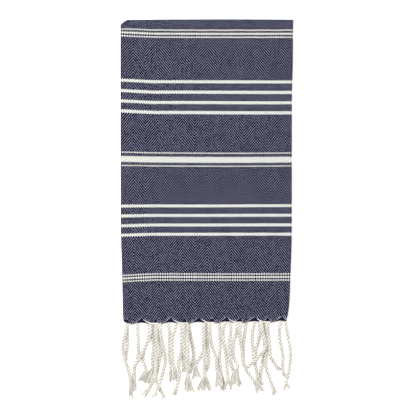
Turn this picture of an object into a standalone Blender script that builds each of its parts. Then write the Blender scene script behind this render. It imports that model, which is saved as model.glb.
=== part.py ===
"""A flat-woven hand towel with a knotted fringe at each end, folded in half
lengthwise and then in half crosswise, lying flat with its fringes spread out
below it. Metres, +Z up, the fringe towards -Y and the crosswise fold at +Y."""

import math
from collections import namedtuple

import bmesh
import bpy
import numpy as np
from mathutils import Vector

MM = 0.001

# ---- the folded towel ----
HALF_WIDTH = 0.1153        # from its middle to the lengthwise fold, and to the selvage
TOP = 0.2540               # the crosswise fold's crest, from the middle of the towel
CLOTH_END = -0.1410        # where the cloth is parted from the fringe's strip
LAYER = 0.0010             # thickness of one layer of cloth
LAYER_GAP = 0.0005         # air between two layers
PART_GAP = 0.0003          # between the cloth and the fringe's strip

# ---- how the folded outline departs from a rectangle ----
CREST_BOW = 0.0021         # how far the crest falls away at its two ends
CREST_DEPTH = 0.0120       # how far below the crest that is felt
CORNER_CUT = 0.0056        # height of the rounded corner where both folds meet
CORNER_WIDTH = 0.0072      # its width

# A level of the outline: its height on the towel, and how far each side has come in there
Level = namedtuple("Level", "height left right")
OUTLINE = (
    Level(-0.153, 0.0046, 0.0095),
    Level(-0.141, 0.0038, 0.0073),
    Level(-0.132, 0.0034, 0.0059),
    Level(-0.110, 0.0026, 0.0047),
    Level(-0.075, 0.0016, 0.0031),
    Level(-0.030, 0.0003, 0.0019),
    Level(0.140, 0.0000, 0.0019),
    Level(0.190, 0.0000, 0.0007),
    Level(0.240, 0.0000, 0.0000),
    Level(0.254, 0.0000, 0.0003),
)

# ---- the scalloped end that the tassels draw up ----
TASSEL_PITCH = 0.0395      # along the cut width, from one tassel to the next
GAP_DEPTH = 0.0068         # the deep nick between two tassels
GAP_REACH = 0.0096         # its half width
NOTCH_DEPTH = 0.0030       # the small nick between a tassel's two cords
NOTCH_REACH = 0.0034       # its half width
NICK_POINT = 1.2           # how far a nick's sides curve in towards its point, over 1
END_RISE = 0.0028          # how much higher the ends lie at the selvage than at the fold

# A layer of the folded stack: which fringe it carries, the sign of its side of each fold,
# how low its end reaches, and where on the cut width its first deep nick falls
Ply = namedtuple("Ply", "fringe across along end nick")
PLIES = {
    1: Ply("fringe_back", 1, -1, -0.1546, 0.0100),
    2: Ply("fringe_back", -1, -1, -0.1541, 0.0100),
    3: Ply("fringe_front", -1, 1, -0.1537, 0.0245),
    4: Ply("fringe_front", 1, 1, -0.1531, 0.0245),
}

# ---- the cords of the fringe ----
CORD = 0.0040              # thickness of a twisted cord
CORD_GAP = 0.0004          # kept between two cords, and between a cord and the cloth
ROOT_WIDTH = 0.0036        # of the strip's edge that is drawn into one cord
ROOT_CLEAR = 0.0010        # least width of the strip's edge beside a root
ROOT_FLAT = 0.0030         # length over which a cord leaves the strip level
GATHER = 0.0120            # length over which the flat root rounds up to the cord
CORD_SLOPE = 0.38          # steepest rise of a cord over what lies below it
KNOT = 0.0054              # width and length of the knot above a frayed tail
TAIL = 0.0150              # length of the frayed tail below its knot
TAIL_THICKNESS = 0.0026    # of the tail at its tip

# A cord: the layer that it grows from, its distance from the middle line at its root, at
# each quarter of its way down and at its tip, how far down it reaches, and the width of
# its frayed tail, or 0 where it ends in a plain tip. All but ply are millimetres.
Cord = namedtuple("Cord", "ply root quarter middle three_quarters tip reach tail")
CORDS = (
    Cord(1, -75.4, -77.0, -83.0, -84.5, -89.0, 76, 6),
    Cord(1, -64.5, -63.0, -63.5, -69.0, -85.0, 95, 6),
    Cord(1, -34.0, -34.0, -34.0, -33.3, -32.5, 60, 0),
    Cord(1, -5.0, -4.8, -5.5, -15.5, -14.0, 68, 6),
    Cord(1, 71.8, 76.0, 76.5, 73.0, 71.5, 66, 0),
    Cord(1, 77.3, 80.0, 78.8, 82.5, 90.5, 94, 5),
    Cord(2, -101.8, -103.5, -105.6, -106.0, -104.0, 50, 0),
    Cord(2, -72.0, -73.0, -72.0, -74.0, -86.0, 78, 7),
    Cord(2, -22.5, -21.5, -19.2, -18.0, -20.5, 60, 0),
    Cord(2, -0.4, 0.3, 1.7, 4.9, 2.8, 61, 0),
    Cord(2, 15.8, 16.4, 16.6, 18.5, 21.5, 88, 0),
    Cord(2, 53.0, 52.2, 50.5, 51.6, 52.9, 54, 0),
    Cord(3, -93.0, -92.5, -92.0, -97.6, -101.0, 90, 6),
    Cord(3, -77.0, -77.0, -82.0, -89.5, -97.0, 58, 0),
    Cord(3, -53.0, -50.7, -51.6, -50.2, -46.5, 78, 6),
    Cord(3, -41.5, -45.5, -47.0, -45.5, -41.6, 74, 5),
    Cord(3, -5.0, -4.8, -4.2, -4.6, -3.4, 87, 18),
    Cord(3, 24.4, 21.2, 24.3, 26.3, 26.0, 88, 5),
    Cord(3, 29.2, 31.8, 29.2, 29.4, 31.0, 56, 0),
    Cord(3, 62.7, 60.5, 60.5, 62.3, 61.2, 54, 0),
    Cord(3, 69.5, 69.0, 63.2, 66.3, 71.0, 89, 7),
    Cord(3, 97.0, 96.8, 101.0, 100.5, 103.0, 72, 5),
    Cord(3, 103.4, 109.2, 111.0, 109.2, 108.5, 88, 7),
    Cord(4, -106.2, -111.0, -109.0, -103.4, -103.0, 101, 5),
    Cord(4, -67.5, -66.0, -68.0, -69.0, -58.0, 99, 5),
    Cord(4, -62.5, -60.0, -56.3, -61.0, -71.0, 99, 5),
    Cord(4, -36.6, -34.5, -38.5, -37.4, -44.0, 96, 0),
    Cord(4, -32.0, -30.4, -28.9, -28.3, -24.5, 91, 11),
    Cord(4, -27.3, -26.0, -24.5, -23.8, -22.6, 58, 0),
    Cord(4, 4.0, 4.9, 8.3, 11.5, 16.0, 76, 6),
    Cord(4, 39.4, 34.8, 34.6, 38.4, 37.0, 83, 9),
    Cord(4, 44.0, 45.0, 47.3, 53.0, 70.0, 82, 6),
    Cord(4, 73.3, 77.3, 78.6, 66.5, 57.0, 57, 0),
    Cord(4, 80.4, 83.2, 84.4, 85.6, 96.0, 60, 0),
)

# ---- how finely the solids are cut ----
CLOTH_STEP = 0.0260        # across and along the flat cloth
CREASE_STEPS = 6           # round each fold
CORNER_STEPS = 3           # extra columns beside the lengthwise fold, for the round corner
STRIP_ROWS = 2             # of the fringe's strip, from the cloth down to its end
CORD_STEP = 0.0055         # length of one piece of a cord's solid
SURVEY_STEP = 0.0010       # spacing at which a cord feels for what lies below it
SHARP_ANGLE = math.radians(35)

# Colours, as linear red, green and blue, and the roughness of the two yarns
NAVY = (0.062, 0.062, 0.120, 1.0)
CREAM = (0.760, 0.740, 0.650, 1.0)
COTTON_ROUGHNESS = 0.9

# ---- worked out from the sizes above ----
PLY_PITCH = LAYER + LAYER_GAP
STACK = LAYER + PLY_PITCH                       # two layers, after the lengthwise fold
ACROSS_RADIUS = PLY_PITCH / 2                   # of the lengthwise fold, at mid cloth
ALONG_RADIUS = (LAYER_GAP + STACK) / 2          # of the crosswise fold, at mid stack
ACROSS_BEND = math.pi * ACROSS_RADIUS / 2       # half the cloth taken up by a fold
ALONG_BEND = math.pi * ALONG_RADIUS / 2
CREST_TOP = TOP - LAYER_GAP / 2 - STACK         # y of the crosswise fold's own axis
FOLD_AXIS = -HALF_WIDTH + ACROSS_RADIUS + LAYER / 2     # x of the lengthwise fold's axis
CUT_HALF_WIDTH = HALF_WIDTH - FOLD_AXIS + ACROSS_BEND   # of the cloth laid out flat


# ---- the two folds ----

def bend(distance, radius, offset):
    """Where a point of a folded section lies: how far it is from the fold's axis along the
    layers, and how far to the side of it. distance is measured along the cloth."""
    arc = math.pi * radius / 2
    if abs(distance) <= arc:
        angle = distance / radius
        return -(radius + offset) * math.cos(angle), (radius + offset) * math.sin(angle)
    return abs(distance) - arc, math.copysign(radius + offset, distance)


def folded(across, along, offset):
    """A point of the cut cloth after both folds. offset is outwards from mid cloth."""
    run, side = bend(across, ACROSS_RADIUS, offset)
    x = FOLD_AXIS + run
    run, side = bend(along, ALONG_RADIUS, side)
    return warped(x, CREST_TOP - run, STACK + LAYER_GAP / 2 + side)


def drawn_in(y):
    """How far the left and the right side have come in at a height."""
    heights = [level.height for level in OUTLINE]
    left = np.interp(y, heights, [level.left for level in OUTLINE])
    right = np.interp(y, heights, [level.right for level in OUTLINE])
    return float(left), float(right)


def warped(x, y, z):
    """Draws the folded rectangle to the towel's real outline, in its own plane."""
    left, right = drawn_in(y)
    share = (x + HALF_WIDTH) / (2 * HALF_WIDTH)
    felt = max(0.0, 1 - (TOP - y) / CREST_DEPTH)
    beside = max(0.0, 1 - (x + HALF_WIDTH) / CORNER_WIDTH)
    drop = CREST_BOW * (x / HALF_WIDTH) ** 2 + (CORNER_CUT - CREST_BOW) * beside ** 2
    return Vector((x + left * (1 - share) - right * share, y - drop * felt ** 2, z))


def along_for(height, side):
    """Distance along the cut cloth from the crosswise fold to a height on one half."""
    return side * (CREST_TOP - height + ALONG_BEND)


def across_for(x, y):
    """Distance across the cut cloth from the lengthwise fold to a place on either half."""
    left, right = drawn_in(y)
    straight = (x - (left - right) / 2) / (1 - (left + right) / (2 * HALF_WIDTH))
    return straight - FOLD_AXIS + ACROSS_BEND


# ---- the cloth ----

def even(start, end, step):
    """Evenly spaced numbers from start to end, about step apart."""
    return list(np.linspace(start, end, max(1, round(abs(end - start) / step)) + 1))


def mirrored(half):
    """The stations of one half, which start at a fold's end, with the fold between."""
    crease = list(np.linspace(-half[0], half[0], CREASE_STEPS + 1))
    return [-value for value in reversed(half[1:])] + crease + half[1:]


def flat_slab(across, along_of):
    """A flat slab of cloth with a column for each number of across and a row for each
    function of along_of, folded up into place."""
    bm = bmesh.new()
    columns, rows = len(across) - 1, len(along_of) - 1
    bmesh.ops.create_grid(bm, x_segments=columns, y_segments=rows, size=0.5)
    for vert in bm.verts:
        u = across[round((vert.co.x + 0.5) * columns)]
        vert.co = (u, along_of[round((vert.co.y + 0.5) * rows)](u), -LAYER / 2)
    raised = bmesh.ops.extrude_face_region(bm, geom=bm.faces[:])["geom"]
    for vert in (item for item in raised if isinstance(item, bmesh.types.BMVert)):
        vert.co.z = LAYER / 2
    bmesh.ops.recalc_face_normals(bm, faces=bm.faces[:])
    for vert in bm.verts:
        vert.co = folded(*vert.co)
    return bm


def cloth_mesh():
    """The whole cloth but for its scalloped ends."""
    corner = even(ACROSS_BEND, ACROSS_BEND + CORNER_WIDTH, CORNER_WIDTH / CORNER_STEPS)
    across = mirrored(corner + even(corner[-1], CUT_HALF_WIDTH, CLOTH_STEP)[1:])
    crest = [ALONG_BEND, ALONG_BEND + CREST_DEPTH / 2, ALONG_BEND + CREST_DEPTH]
    along = mirrored(crest + even(crest[-1], along_for(CLOTH_END, 1), CLOTH_STEP)[1:])
    return flat_slab(across, [lambda _, value=value: value for value in along])


# ---- the fringe's strip, with its scalloped end ----

def nick(distance, depth, reach):
    """How far a nick cuts up into the cloth at a distance from its middle."""
    return depth * max(0.0, 1 - abs(distance) / reach) ** NICK_POINT


def end_height(ply, across, roots):
    """Height of a layer's scalloped end at a distance across the cut cloth. A cord draws
    the cloth all the way down at its root."""
    level = ply.end + END_RISE * abs(across) / CUT_HALF_WIDTH
    if any(abs(abs(across) - root) < ROOT_WIDTH for root in roots):
        return level
    phase = (across - ply.nick) % TASSEL_PITCH
    deep = nick(min(phase, TASSEL_PITCH - phase), GAP_DEPTH, GAP_REACH)
    return level + deep + nick(phase - TASSEL_PITCH / 2, NOTCH_DEPTH, NOTCH_REACH)


def scallop_stations(ply):
    """Places across a layer, from its fold's end, that give its scallops their shape."""
    rising = (GAP_REACH / 2, GAP_REACH, TASSEL_PITCH / 2 - NOTCH_REACH)
    falling = tuple(TASSEL_PITCH - offset for offset in rising)
    offsets = (0, TASSEL_PITCH / 2) + rising + falling
    first = (ply.nick * ply.across) % TASSEL_PITCH - TASSEL_PITCH
    tassels = range(math.ceil(CUT_HALF_WIDTH / TASSEL_PITCH) + 2)
    return [first + tassel * TASSEL_PITCH + offset for tassel in tassels for offset in offsets]


def strip_columns(ply, roots):
    """The strip's columns on one layer: both sides of each cord's root, and the scallops
    between them."""
    between = [place for place in scallop_stations(ply)
               if ACROSS_BEND + ROOT_CLEAR < place < CUT_HALF_WIDTH - ROOT_CLEAR
               and all(abs(place - root) > ROOT_WIDTH / 2 + ROOT_CLEAR for root in roots)]
    sides = [root + side * ROOT_WIDTH / 2 for root in roots for side in (-1, 1)]
    return [ACROSS_BEND] + sorted(between + sides) + [CUT_HALF_WIDTH]


def strip_mesh(under, over, roots):
    """The folded strip of two layers, one under the other, whose cords have these roots."""
    crease = list(np.linspace(-ACROSS_BEND, ACROSS_BEND, CREASE_STEPS + 1))
    across = [-place for place in reversed(strip_columns(under, roots[under])[1:])]
    across += crease + strip_columns(over, roots[over])[1:]
    top = CLOTH_END - PART_GAP

    def row(share):
        def along(u):
            ply = over if u > 0 else under
            blend = min(1.0, abs(u) / ACROSS_BEND)
            low = end_height(ply, u, roots[ply])
            low = blend * low + (1 - blend) * (under.end + over.end) / 2
            return along_for(top + share * (low - top), ply.along)
        return along

    return flat_slab(across, [row(share) for share in np.linspace(0, 1, STRIP_ROWS + 1)])


# ---- the cords ----

def cord_route(cord, start):
    """The cord's plan route from its root: smooth through its five named places."""
    places = np.array([cord.quarter, cord.middle, cord.three_quarters, cord.tip]) * MM
    beyond = 2 * places[-1] - places[-2]
    places = np.concatenate(([start.x, start.x], places, [beyond]))
    quarters = len(places) - 3
    reach = cord.reach * MM
    points = []
    for share in np.linspace(0, quarters, math.ceil(reach / SURVEY_STEP) + 1):
        section = min(int(share), quarters - 1)
        before, first, second, after = places[section:section + 4]
        t = share - section
        curve = 2 * before - 5 * first + 4 * second - after
        x = first + t / 2 * (second - before + t * (curve + t * (3 * (first - second) + after - before)))
        points.append(Vector((x, start.y - reach * share / quarters)))
    return points


def cord_size(cord, travelled, length):
    """Width and thickness of a cord at a distance from its root."""
    remaining = length - travelled
    if cord.tail and remaining < TAIL:
        share = 1 - remaining / TAIL
        return CORD + (cord.tail * MM - CORD) * share, CORD + (TAIL_THICKNESS - CORD) * share
    if cord.tail and remaining < TAIL + KNOT:
        return CORD + (KNOT - CORD) * math.sin(math.pi * (remaining - TAIL) / KNOT), CORD
    gathered = min(1.0, travelled / GATHER)
    return ROOT_WIDTH + (CORD - ROOT_WIDTH) * gathered, LAYER + (CORD - LAYER) * gathered


def cord_marks(cord, length):
    """Distances from the root at which a cord's solid has a section."""
    if not cord.tail:
        return even(0, length, CORD_STEP)
    knot = length - TAIL - KNOT
    below = [knot + KNOT / 2, knot + KNOT, length - TAIL / 2, length]
    return even(0, knot, CORD_STEP) + below


# A cord's section: its centre in plan, the direction of its width, and its two heights
Section = namedtuple("Section", "centre side width low high")


def cord_heights(cord, start, points, travelled, lying):
    """Height of a cord's underside along its survey: level off its root, then on the floor
    or over the cords that lie there already, with no slope steeper than CORD_SLOPE."""
    floor = start.z - CORD_SLOPE * np.maximum(0.0, travelled - ROOT_FLAT)
    floor = np.maximum(floor, 0.0)
    for index, point in enumerate(points):
        width, _ = cord_size(cord, travelled[index], travelled[-1])
        for other in lying:
            if (point - other.centre).length < (width + other.width) / 2 + CORD_GAP:
                floor[index] = max(floor[index], other.high + CORD_GAP)
    return [max(floor - CORD_SLOPE * abs(travelled - distance)) for distance in travelled]


def lay_cord(cord, start, lying):
    """Lays one cord from its root to its tip. Gives its solid's sections, and adds the
    whole of it to what later cords lie over."""
    points = cord_route(cord, start)
    steps = [(after - before).length for before, after in zip(points, points[1:])]
    travelled = np.concatenate(([0.0], np.cumsum(steps)))
    low = cord_heights(cord, start, points, travelled, lying)
    marks = [int(np.argmin(abs(travelled - mark))) for mark in cord_marks(cord, travelled[-1])]
    halfway = [(before + after) // 2 for before, after in zip(marks, marks[1:])] + [marks[-1]]
    heights = [start.z] + [max(low[a:b + 1]) for a, b in zip(halfway, halfway[1:])]
    built = np.interp(range(len(points)), marks, heights)
    sections = []
    for index, point in enumerate(points):
        ahead = points[min(index + 1, len(points) - 1)] - points[max(index - 1, 0)]
        side = Vector((-ahead.y, ahead.x)).normalized()
        width, thick = cord_size(cord, travelled[index], travelled[-1])
        sections.append(Section(point, side, width, built[index], built[index] + thick))
    lying.extend(sections)
    return [sections[mark] for mark in marks[1:]]


def corners(section):
    """The four corners of a cord's section, anticlockwise as seen from its root."""
    reach = section.side * section.width / 2
    left, right = section.centre - reach, section.centre + reach
    return ((left.x, left.y, section.low), (right.x, right.y, section.low),
            (right.x, right.y, section.high), (left.x, left.y, section.high))


def root_face(bm, place):
    """The face of the strip's end that a cord grows from."""
    return min(bm.faces, key=lambda face: (face.calc_center_median() - place).length)


def grow_cord(bm, face, sections):
    """Extrudes a face of the strip's end along a cord's sections."""
    middle = face.calc_center_median()
    rank = {(False, False): 0, (True, False): 1, (True, True): 2, (False, True): 3}
    order = [rank[vert.co.x > middle.x, vert.co.z > middle.z] for vert in face.verts]
    for section in sections:
        face = bmesh.ops.extrude_discrete_faces(bm, faces=[face])["faces"][0]
        places = corners(section)
        for vert, corner in zip(face.verts, order):
            vert.co = places[corner]


def fringe_mesh(name, lying):
    """A fringe: its strip of cloth end, folded with the cloth, and its cords, in one body.
    lying holds the sections of the cords that are laid already."""
    layers = {number: ply for number, ply in sorted(PLIES.items()) if ply.fringe == name}
    cords = {ply: [cord for cord in CORDS if cord.ply == number] for number, ply in layers.items()}
    roots = {ply: [across_for(cord.root * MM, ply.end) for cord in cords[ply]] for ply in cords}
    bm = strip_mesh(*sorted(cords, key=lambda ply: ply.across), roots)
    for ply in cords:
        for cord, u in zip(cords[ply], roots[ply]):
            along = along_for(end_height(ply, u, roots[ply]), ply.along)
            face = root_face(bm, folded(u * ply.across, along, 0))
            start = Vector([sum(vert.co.x for vert in face.verts) / len(face.verts),
                            min(vert.co.y for vert in face.verts),
                            min(vert.co.z for vert in face.verts)])
            grow_cord(bm, face, lay_cord(cord, start, lying))
    return bm


# ---- the pieces ----

def add_object(name, bm, colour):
    """Makes a named object of a mesh, with a cotton material of its own."""
    if bm.calc_volume(signed=True) < 0:
        bmesh.ops.reverse_faces(bm, faces=bm.faces[:])
    mesh = bpy.data.meshes.new(name)
    bm.to_mesh(mesh)
    bm.free()
    mesh.shade_smooth()
    mesh.set_sharp_from_angle(angle=SHARP_ANGLE)
    material = bpy.data.materials.new(name)
    material.use_nodes = True
    shader = material.node_tree.nodes["Principled BSDF"]
    shader.inputs["Base Color"].default_value = colour
    shader.inputs["Roughness"].default_value = COTTON_ROUGHNESS
    shader.inputs["Metallic"].default_value = 0.0
    mesh.materials.append(material)
    piece = bpy.data.objects.new(name, mesh)
    bpy.context.collection.objects.link(piece)


def main():
    """Clears the scene and makes the cloth and its two fringes."""
    for old in list(bpy.data.objects):
        bpy.data.objects.remove(old, do_unlink=True)
    add_object("cloth", cloth_mesh(), NAVY)
    lying = []
    for name in ("fringe_back", "fringe_front"):
        add_object(name, fringe_mesh(name, lying), CREAM)


main()
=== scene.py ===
"""A flat-woven navy hand towel with cream weft stripes and a twisted cotton fringe at each
end, folded in half lengthwise and then crosswise, lying flat with its fringes spread out.
Metres, +Z up, the fringe towards -Y and the crosswise fold at +Y."""

import logging
import math
import random
from dataclasses import dataclass, field
from enum import Enum
from functools import cached_property
from typing import Any, Callable, Iterable

import bmesh
import bpy
import numpy as np
from mathutils import Matrix, Vector


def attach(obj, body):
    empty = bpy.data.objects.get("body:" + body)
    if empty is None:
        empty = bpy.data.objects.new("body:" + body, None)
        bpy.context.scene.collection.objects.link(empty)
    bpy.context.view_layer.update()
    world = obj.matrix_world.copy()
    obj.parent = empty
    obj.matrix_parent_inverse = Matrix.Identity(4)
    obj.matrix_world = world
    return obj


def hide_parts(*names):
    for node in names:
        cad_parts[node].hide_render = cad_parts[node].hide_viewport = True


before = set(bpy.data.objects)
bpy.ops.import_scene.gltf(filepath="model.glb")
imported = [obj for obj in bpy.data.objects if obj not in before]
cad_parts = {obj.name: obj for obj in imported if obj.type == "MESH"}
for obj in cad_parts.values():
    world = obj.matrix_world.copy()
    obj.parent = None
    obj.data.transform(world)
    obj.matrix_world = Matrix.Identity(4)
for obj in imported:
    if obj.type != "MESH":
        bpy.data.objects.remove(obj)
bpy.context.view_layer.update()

MM = 0.001
UP = Vector((0.0, 0.0, 1.0))
LOG = logging.getLogger("towel")

Colour = tuple[float, float, float, float]
WHITE: Colour = (1.0, 1.0, 1.0, 1.0)


# ---- the folded towel ----

@dataclass(frozen=True)
class Level:
    """How far the towel's two sides have come in at one height, in metres."""

    height: float
    left: float
    right: float


@dataclass(frozen=True)
class Ply:
    """A layer of the folded stack: its fringe, its side of each fold, and its end."""

    fringe: str
    across: int
    along: int
    end: float


@dataclass(frozen=True)
class Wave:
    """A soft swell of the cloth: its length, heading and phase, and its height."""

    length: float
    heading: float
    phase: float
    height: float

    def at(self, x: float, y: float) -> float:
        """Height of the swell at a place on the towel."""
        travel = x * math.cos(self.heading) + y * math.sin(self.heading)
        return self.height * math.sin(2 * math.pi * travel / self.length + self.phase)


@dataclass(frozen=True)
class Fold:
    """The towel's two folds and the outline that they give it.

    crest_bow is how far the crest falls away at its two ends, crest_peak is where it stands
    highest and crest_depth is how far below it that is felt. corner_cut and corner_width
    are the height and width of what the corner loses where both folds meet.
    """

    half_width: float = 0.1158
    top: float = 0.2540
    layer: float = 0.0010
    layer_gap: float = 0.0005
    crest_bow: float = 0.0007
    crest_peak: float = 0.0200
    crest_depth: float = 0.0200
    corner_cut: float = 0.0070
    corner_width: float = 0.0088
    corner_curve: float = 1.3
    outline: tuple[Level, ...] = (
        Level(-0.153, 0.0044, 0.0100),
        Level(-0.147, 0.0037, 0.0093),
        Level(-0.141, 0.0032, 0.0077),
        Level(-0.132, 0.0030, 0.0063),
        Level(-0.119, 0.0028, 0.0053),
        Level(-0.103, 0.0024, 0.0047),
        Level(-0.075, 0.0018, 0.0037),
        Level(-0.055, 0.0012, 0.0029),
        Level(-0.030, 0.0003, 0.0025),
        Level(0.150, 0.0000, 0.0024),
        Level(0.190, 0.0000, 0.0012),
        Level(0.254, 0.0000, 0.0005),
    )
    waves: tuple[Wave, ...] = (
        Wave(0.140, 1.2, 0.3, 0.00022),
        Wave(0.093, 0.2, 2.1, 0.00016),
        Wave(0.061, 2.3, 4.0, 0.00012),
    )

    @cached_property
    def ply_pitch(self) -> float:
        """From one layer to the next, within one fold."""
        return self.layer + self.layer_gap

    @cached_property
    def stack(self) -> float:
        """Thickness of two layers."""
        return self.layer + self.ply_pitch

    @cached_property
    def across_radius(self) -> float:
        """Radius of the lengthwise fold at mid cloth."""
        return self.ply_pitch / 2

    @cached_property
    def along_radius(self) -> float:
        """Radius of the crosswise fold at mid stack."""
        return (self.layer_gap + self.stack) / 2

    @cached_property
    def across_bend(self) -> float:
        """Half the cloth taken up by the lengthwise fold."""
        return math.pi * self.across_radius / 2

    @cached_property
    def along_bend(self) -> float:
        """Half the cloth taken up by the crosswise fold."""
        return math.pi * self.along_radius / 2

    @cached_property
    def crest_axis(self) -> float:
        """Height on the towel of the crosswise fold's own axis."""
        return self.top - self.layer_gap / 2 - self.stack

    @cached_property
    def side_axis(self) -> float:
        """Place across the towel of the lengthwise fold's own axis."""
        return -self.half_width + self.across_radius + self.layer / 2

    @cached_property
    def cut_half_width(self) -> float:
        """Half the width of the cloth laid out flat."""
        return self.half_width - self.side_axis + self.across_bend

    @cached_property
    def stack_height(self) -> float:
        """Height of all four layers."""
        return 2 * self.stack + self.layer_gap

    @staticmethod
    def bend(distance: float, radius: float, offset: float) -> tuple[float, float]:
        """Bends a section of cloth round a fold.

        Args:
            distance: how far along the cloth the point lies from the fold's middle.
            radius: radius of the fold.
            offset: how far the point lies outside that radius.

        Returns:
            How far the point is from the fold's axis along the layers, and how far to
            the side of it.
        """
        arc = math.pi * radius / 2
        if abs(distance) <= arc:
            angle = distance / radius
            return -(radius + offset) * math.cos(angle), (radius + offset) * math.sin(angle)
        return abs(distance) - arc, math.copysign(radius + offset, distance)

    def drawn_in(self, y: float) -> tuple[float, float]:
        """Finds how far the two sides have come in.

        Args:
            y: height on the towel.

        Returns:
            The distances of the left and of the right side.
        """
        low = self.outline[0]
        if y <= low.height:
            return low.left, low.right
        for high in self.outline[1:]:
            if y <= high.height:
                share = (y - low.height) / (high.height - low.height)
                left = low.left + share * (high.left - low.left)
                return left, low.right + share * (high.right - low.right)
            low = high
        return low.left, low.right

    def lift(self, x: float, y: float) -> float:
        """How far the top of the stack swells above its even height at a place."""
        return sum(wave.at(x, y) for wave in self.waves)

    def warped(self, x: float, y: float, z: float) -> Vector:
        """Draws the folded rectangle to the towel's real outline and unevenness.

        Args:
            x: place across the folded rectangle.
            y: height on it.
            z: height in the stack.

        Returns:
            The point's place on the towel.
        """
        left, right = self.drawn_in(y)
        share = (x + self.half_width) / (2 * self.half_width)
        felt = max(0.0, 1 - (self.top - y) / self.crest_depth)
        beside = max(0.0, 1 - (x + self.half_width) / self.corner_width)
        drop = self.crest_bow * ((x - self.crest_peak) / self.half_width) ** 2
        drop += (self.corner_cut - self.crest_bow) * beside ** self.corner_curve
        swell = 1 + self.lift(x, y) / self.stack_height
        return Vector((x + left * (1 - share) - right * share, y - drop * felt ** 2, z * swell))

    def place(self, across: float, along: float, offset: float = 0.0) -> Vector:
        """Folds one point of the cut cloth into place.

        Args:
            across: distance across the cut cloth from the lengthwise fold.
            along: distance along it from the crosswise fold.
            offset: distance outwards from mid cloth.

        Returns:
            The point's place on the folded towel.
        """
        run, side = self.bend(across, self.across_radius, offset)
        x = self.side_axis + run
        run, side = self.bend(along, self.along_radius, side)
        return self.warped(x, self.crest_axis - run, self.stack + self.layer_gap / 2 + side)

    def along_for(self, y: float) -> float:
        """Distance along the cut cloth from the crosswise fold to a height."""
        return self.crest_axis - y + self.along_bend

    def across_for(self, x: float, y: float) -> float:
        """Measures across the cut cloth from the lengthwise fold to a place.

        Args:
            x: the place across the towel.
            y: its height on the towel.

        Returns:
            The distance.
        """
        left, right = self.drawn_in(y)
        straight = (x - (left - right) / 2) / (1 - (left + right) / (2 * self.half_width))
        return straight - self.side_axis + self.across_bend


@dataclass(frozen=True)
class Scallops:
    """The ends of the cloth, which the tassels draw up into scallops.

    nicks are the places, from the middle line, of the deep nicks between the front
    layer's scallops. A nick's left and right sides each have their own reach and curve. The
    layer behind shows in it, drawn up into a low arch. The small notches lie midway between
    the nicks, where the cords of a tassel part.
    """

    fold: Fold
    pitch: float = 0.0395
    nicks: tuple[float, ...] = (-0.0884, -0.0493, -0.0117, 0.0246, 0.0620, 0.0983)
    gap_depth: float = 0.0068
    arch_depth: float = 0.0017
    arch_reach: float = 0.0110
    left_reach: float = 0.0125
    right_reach: float = 0.0138
    left_point: float = 1.5
    right_point: float = 1.12
    notch_depth: float = 0.0056
    notch_reach: float = 0.0038
    notch_point: float = 0.7
    end_rise: float = 0.0028
    corner_rise: float = 0.0042
    corner_reach: float = 0.0050
    plies: tuple[Ply, ...] = (
        Ply("fringe_back", 1, -1, -0.1546),
        Ply("fringe_back", -1, -1, -0.1541),
        Ply("fringe_front", -1, 1, -0.1539),
        Ply("fringe_front", 1, 1, -0.1531),
    )

    @cached_property
    def nick_places(self) -> dict[int, list[float]]:
        """Measures from the lengthwise fold to each nick.

        Returns:
            The distances to the deep nicks under 1, and to the small notches under -1.
        """
        level = self.plies[-1].end
        own = [self.fold.across_for(place, level) for place in self.nicks]
        own = [own[0] - self.pitch, *own, own[-1] + self.pitch]
        between = [(low + high) / 2 for low, high in zip(own, own[1:])]
        return {1: own, -1: [between[0] - self.pitch, *between, between[-1] + self.pitch]}

    def ply_at(self, across: float, along: float) -> Ply:
        """The layer that a point of the cut cloth belongs to."""
        side, half = math.copysign(1, across), math.copysign(1, along)
        return next(ply for ply in self.plies if (ply.across, ply.along) == (side, half))

    @staticmethod
    def cut_depth(distance: float, depth: float, reach: float, point: float) -> float:
        """How far a nick cuts up into the cloth at a distance from its middle."""
        return depth * max(0.0, 1 - abs(distance) / reach) ** point

    def hem_height(self, ply: Ply, across: float) -> float:
        """Height of the line that a layer's gathered warp ends follow.

        Args:
            ply: the layer.
            across: distance across the cut cloth, with or without its sign.

        Returns:
            The height on the towel.
        """
        across = abs(across)
        level = ply.end + self.end_rise * across / self.fold.cut_half_width
        level += self.corner_rise * max(0.0, 1 - across / self.corner_reach)
        away = min((across - place for place in self.nick_places[1]), key=abs)
        if ply.across < 0:
            return level + self.arch_depth * max(0.0, 1 - (away / self.arch_reach) ** 2)
        if away > 0:
            return level + self.cut_depth(away, self.gap_depth, self.right_reach, self.right_point)
        return level + self.cut_depth(away, self.gap_depth, self.left_reach, self.left_point)

    def end_height(self, across: float, along: float) -> float:
        """Height of the cloth's own end.

        Args:
            across: distance across the cut cloth.
            along: distance along it; only its sign counts.

        Returns:
            The height on the towel, with the small nicks between a tassel's cords.
        """
        ply = self.ply_at(across, along)
        cut = self.hem_height(ply, across)
        if ply.across > 0:
            notch = min((across - place for place in self.nick_places[-1]), key=abs)
            cut += self.cut_depth(notch, self.notch_depth, self.notch_reach, self.notch_point)
        blend = min(1.0, abs(across) / self.fold.across_bend)
        if blend == 1.0:
            return cut
        mates = [self.hem_height(mate, across) for mate in self.plies if mate.along == ply.along]
        return blend * cut + (1 - blend) * sum(mates) / len(mates)


# ---- shader helpers ----

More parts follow.
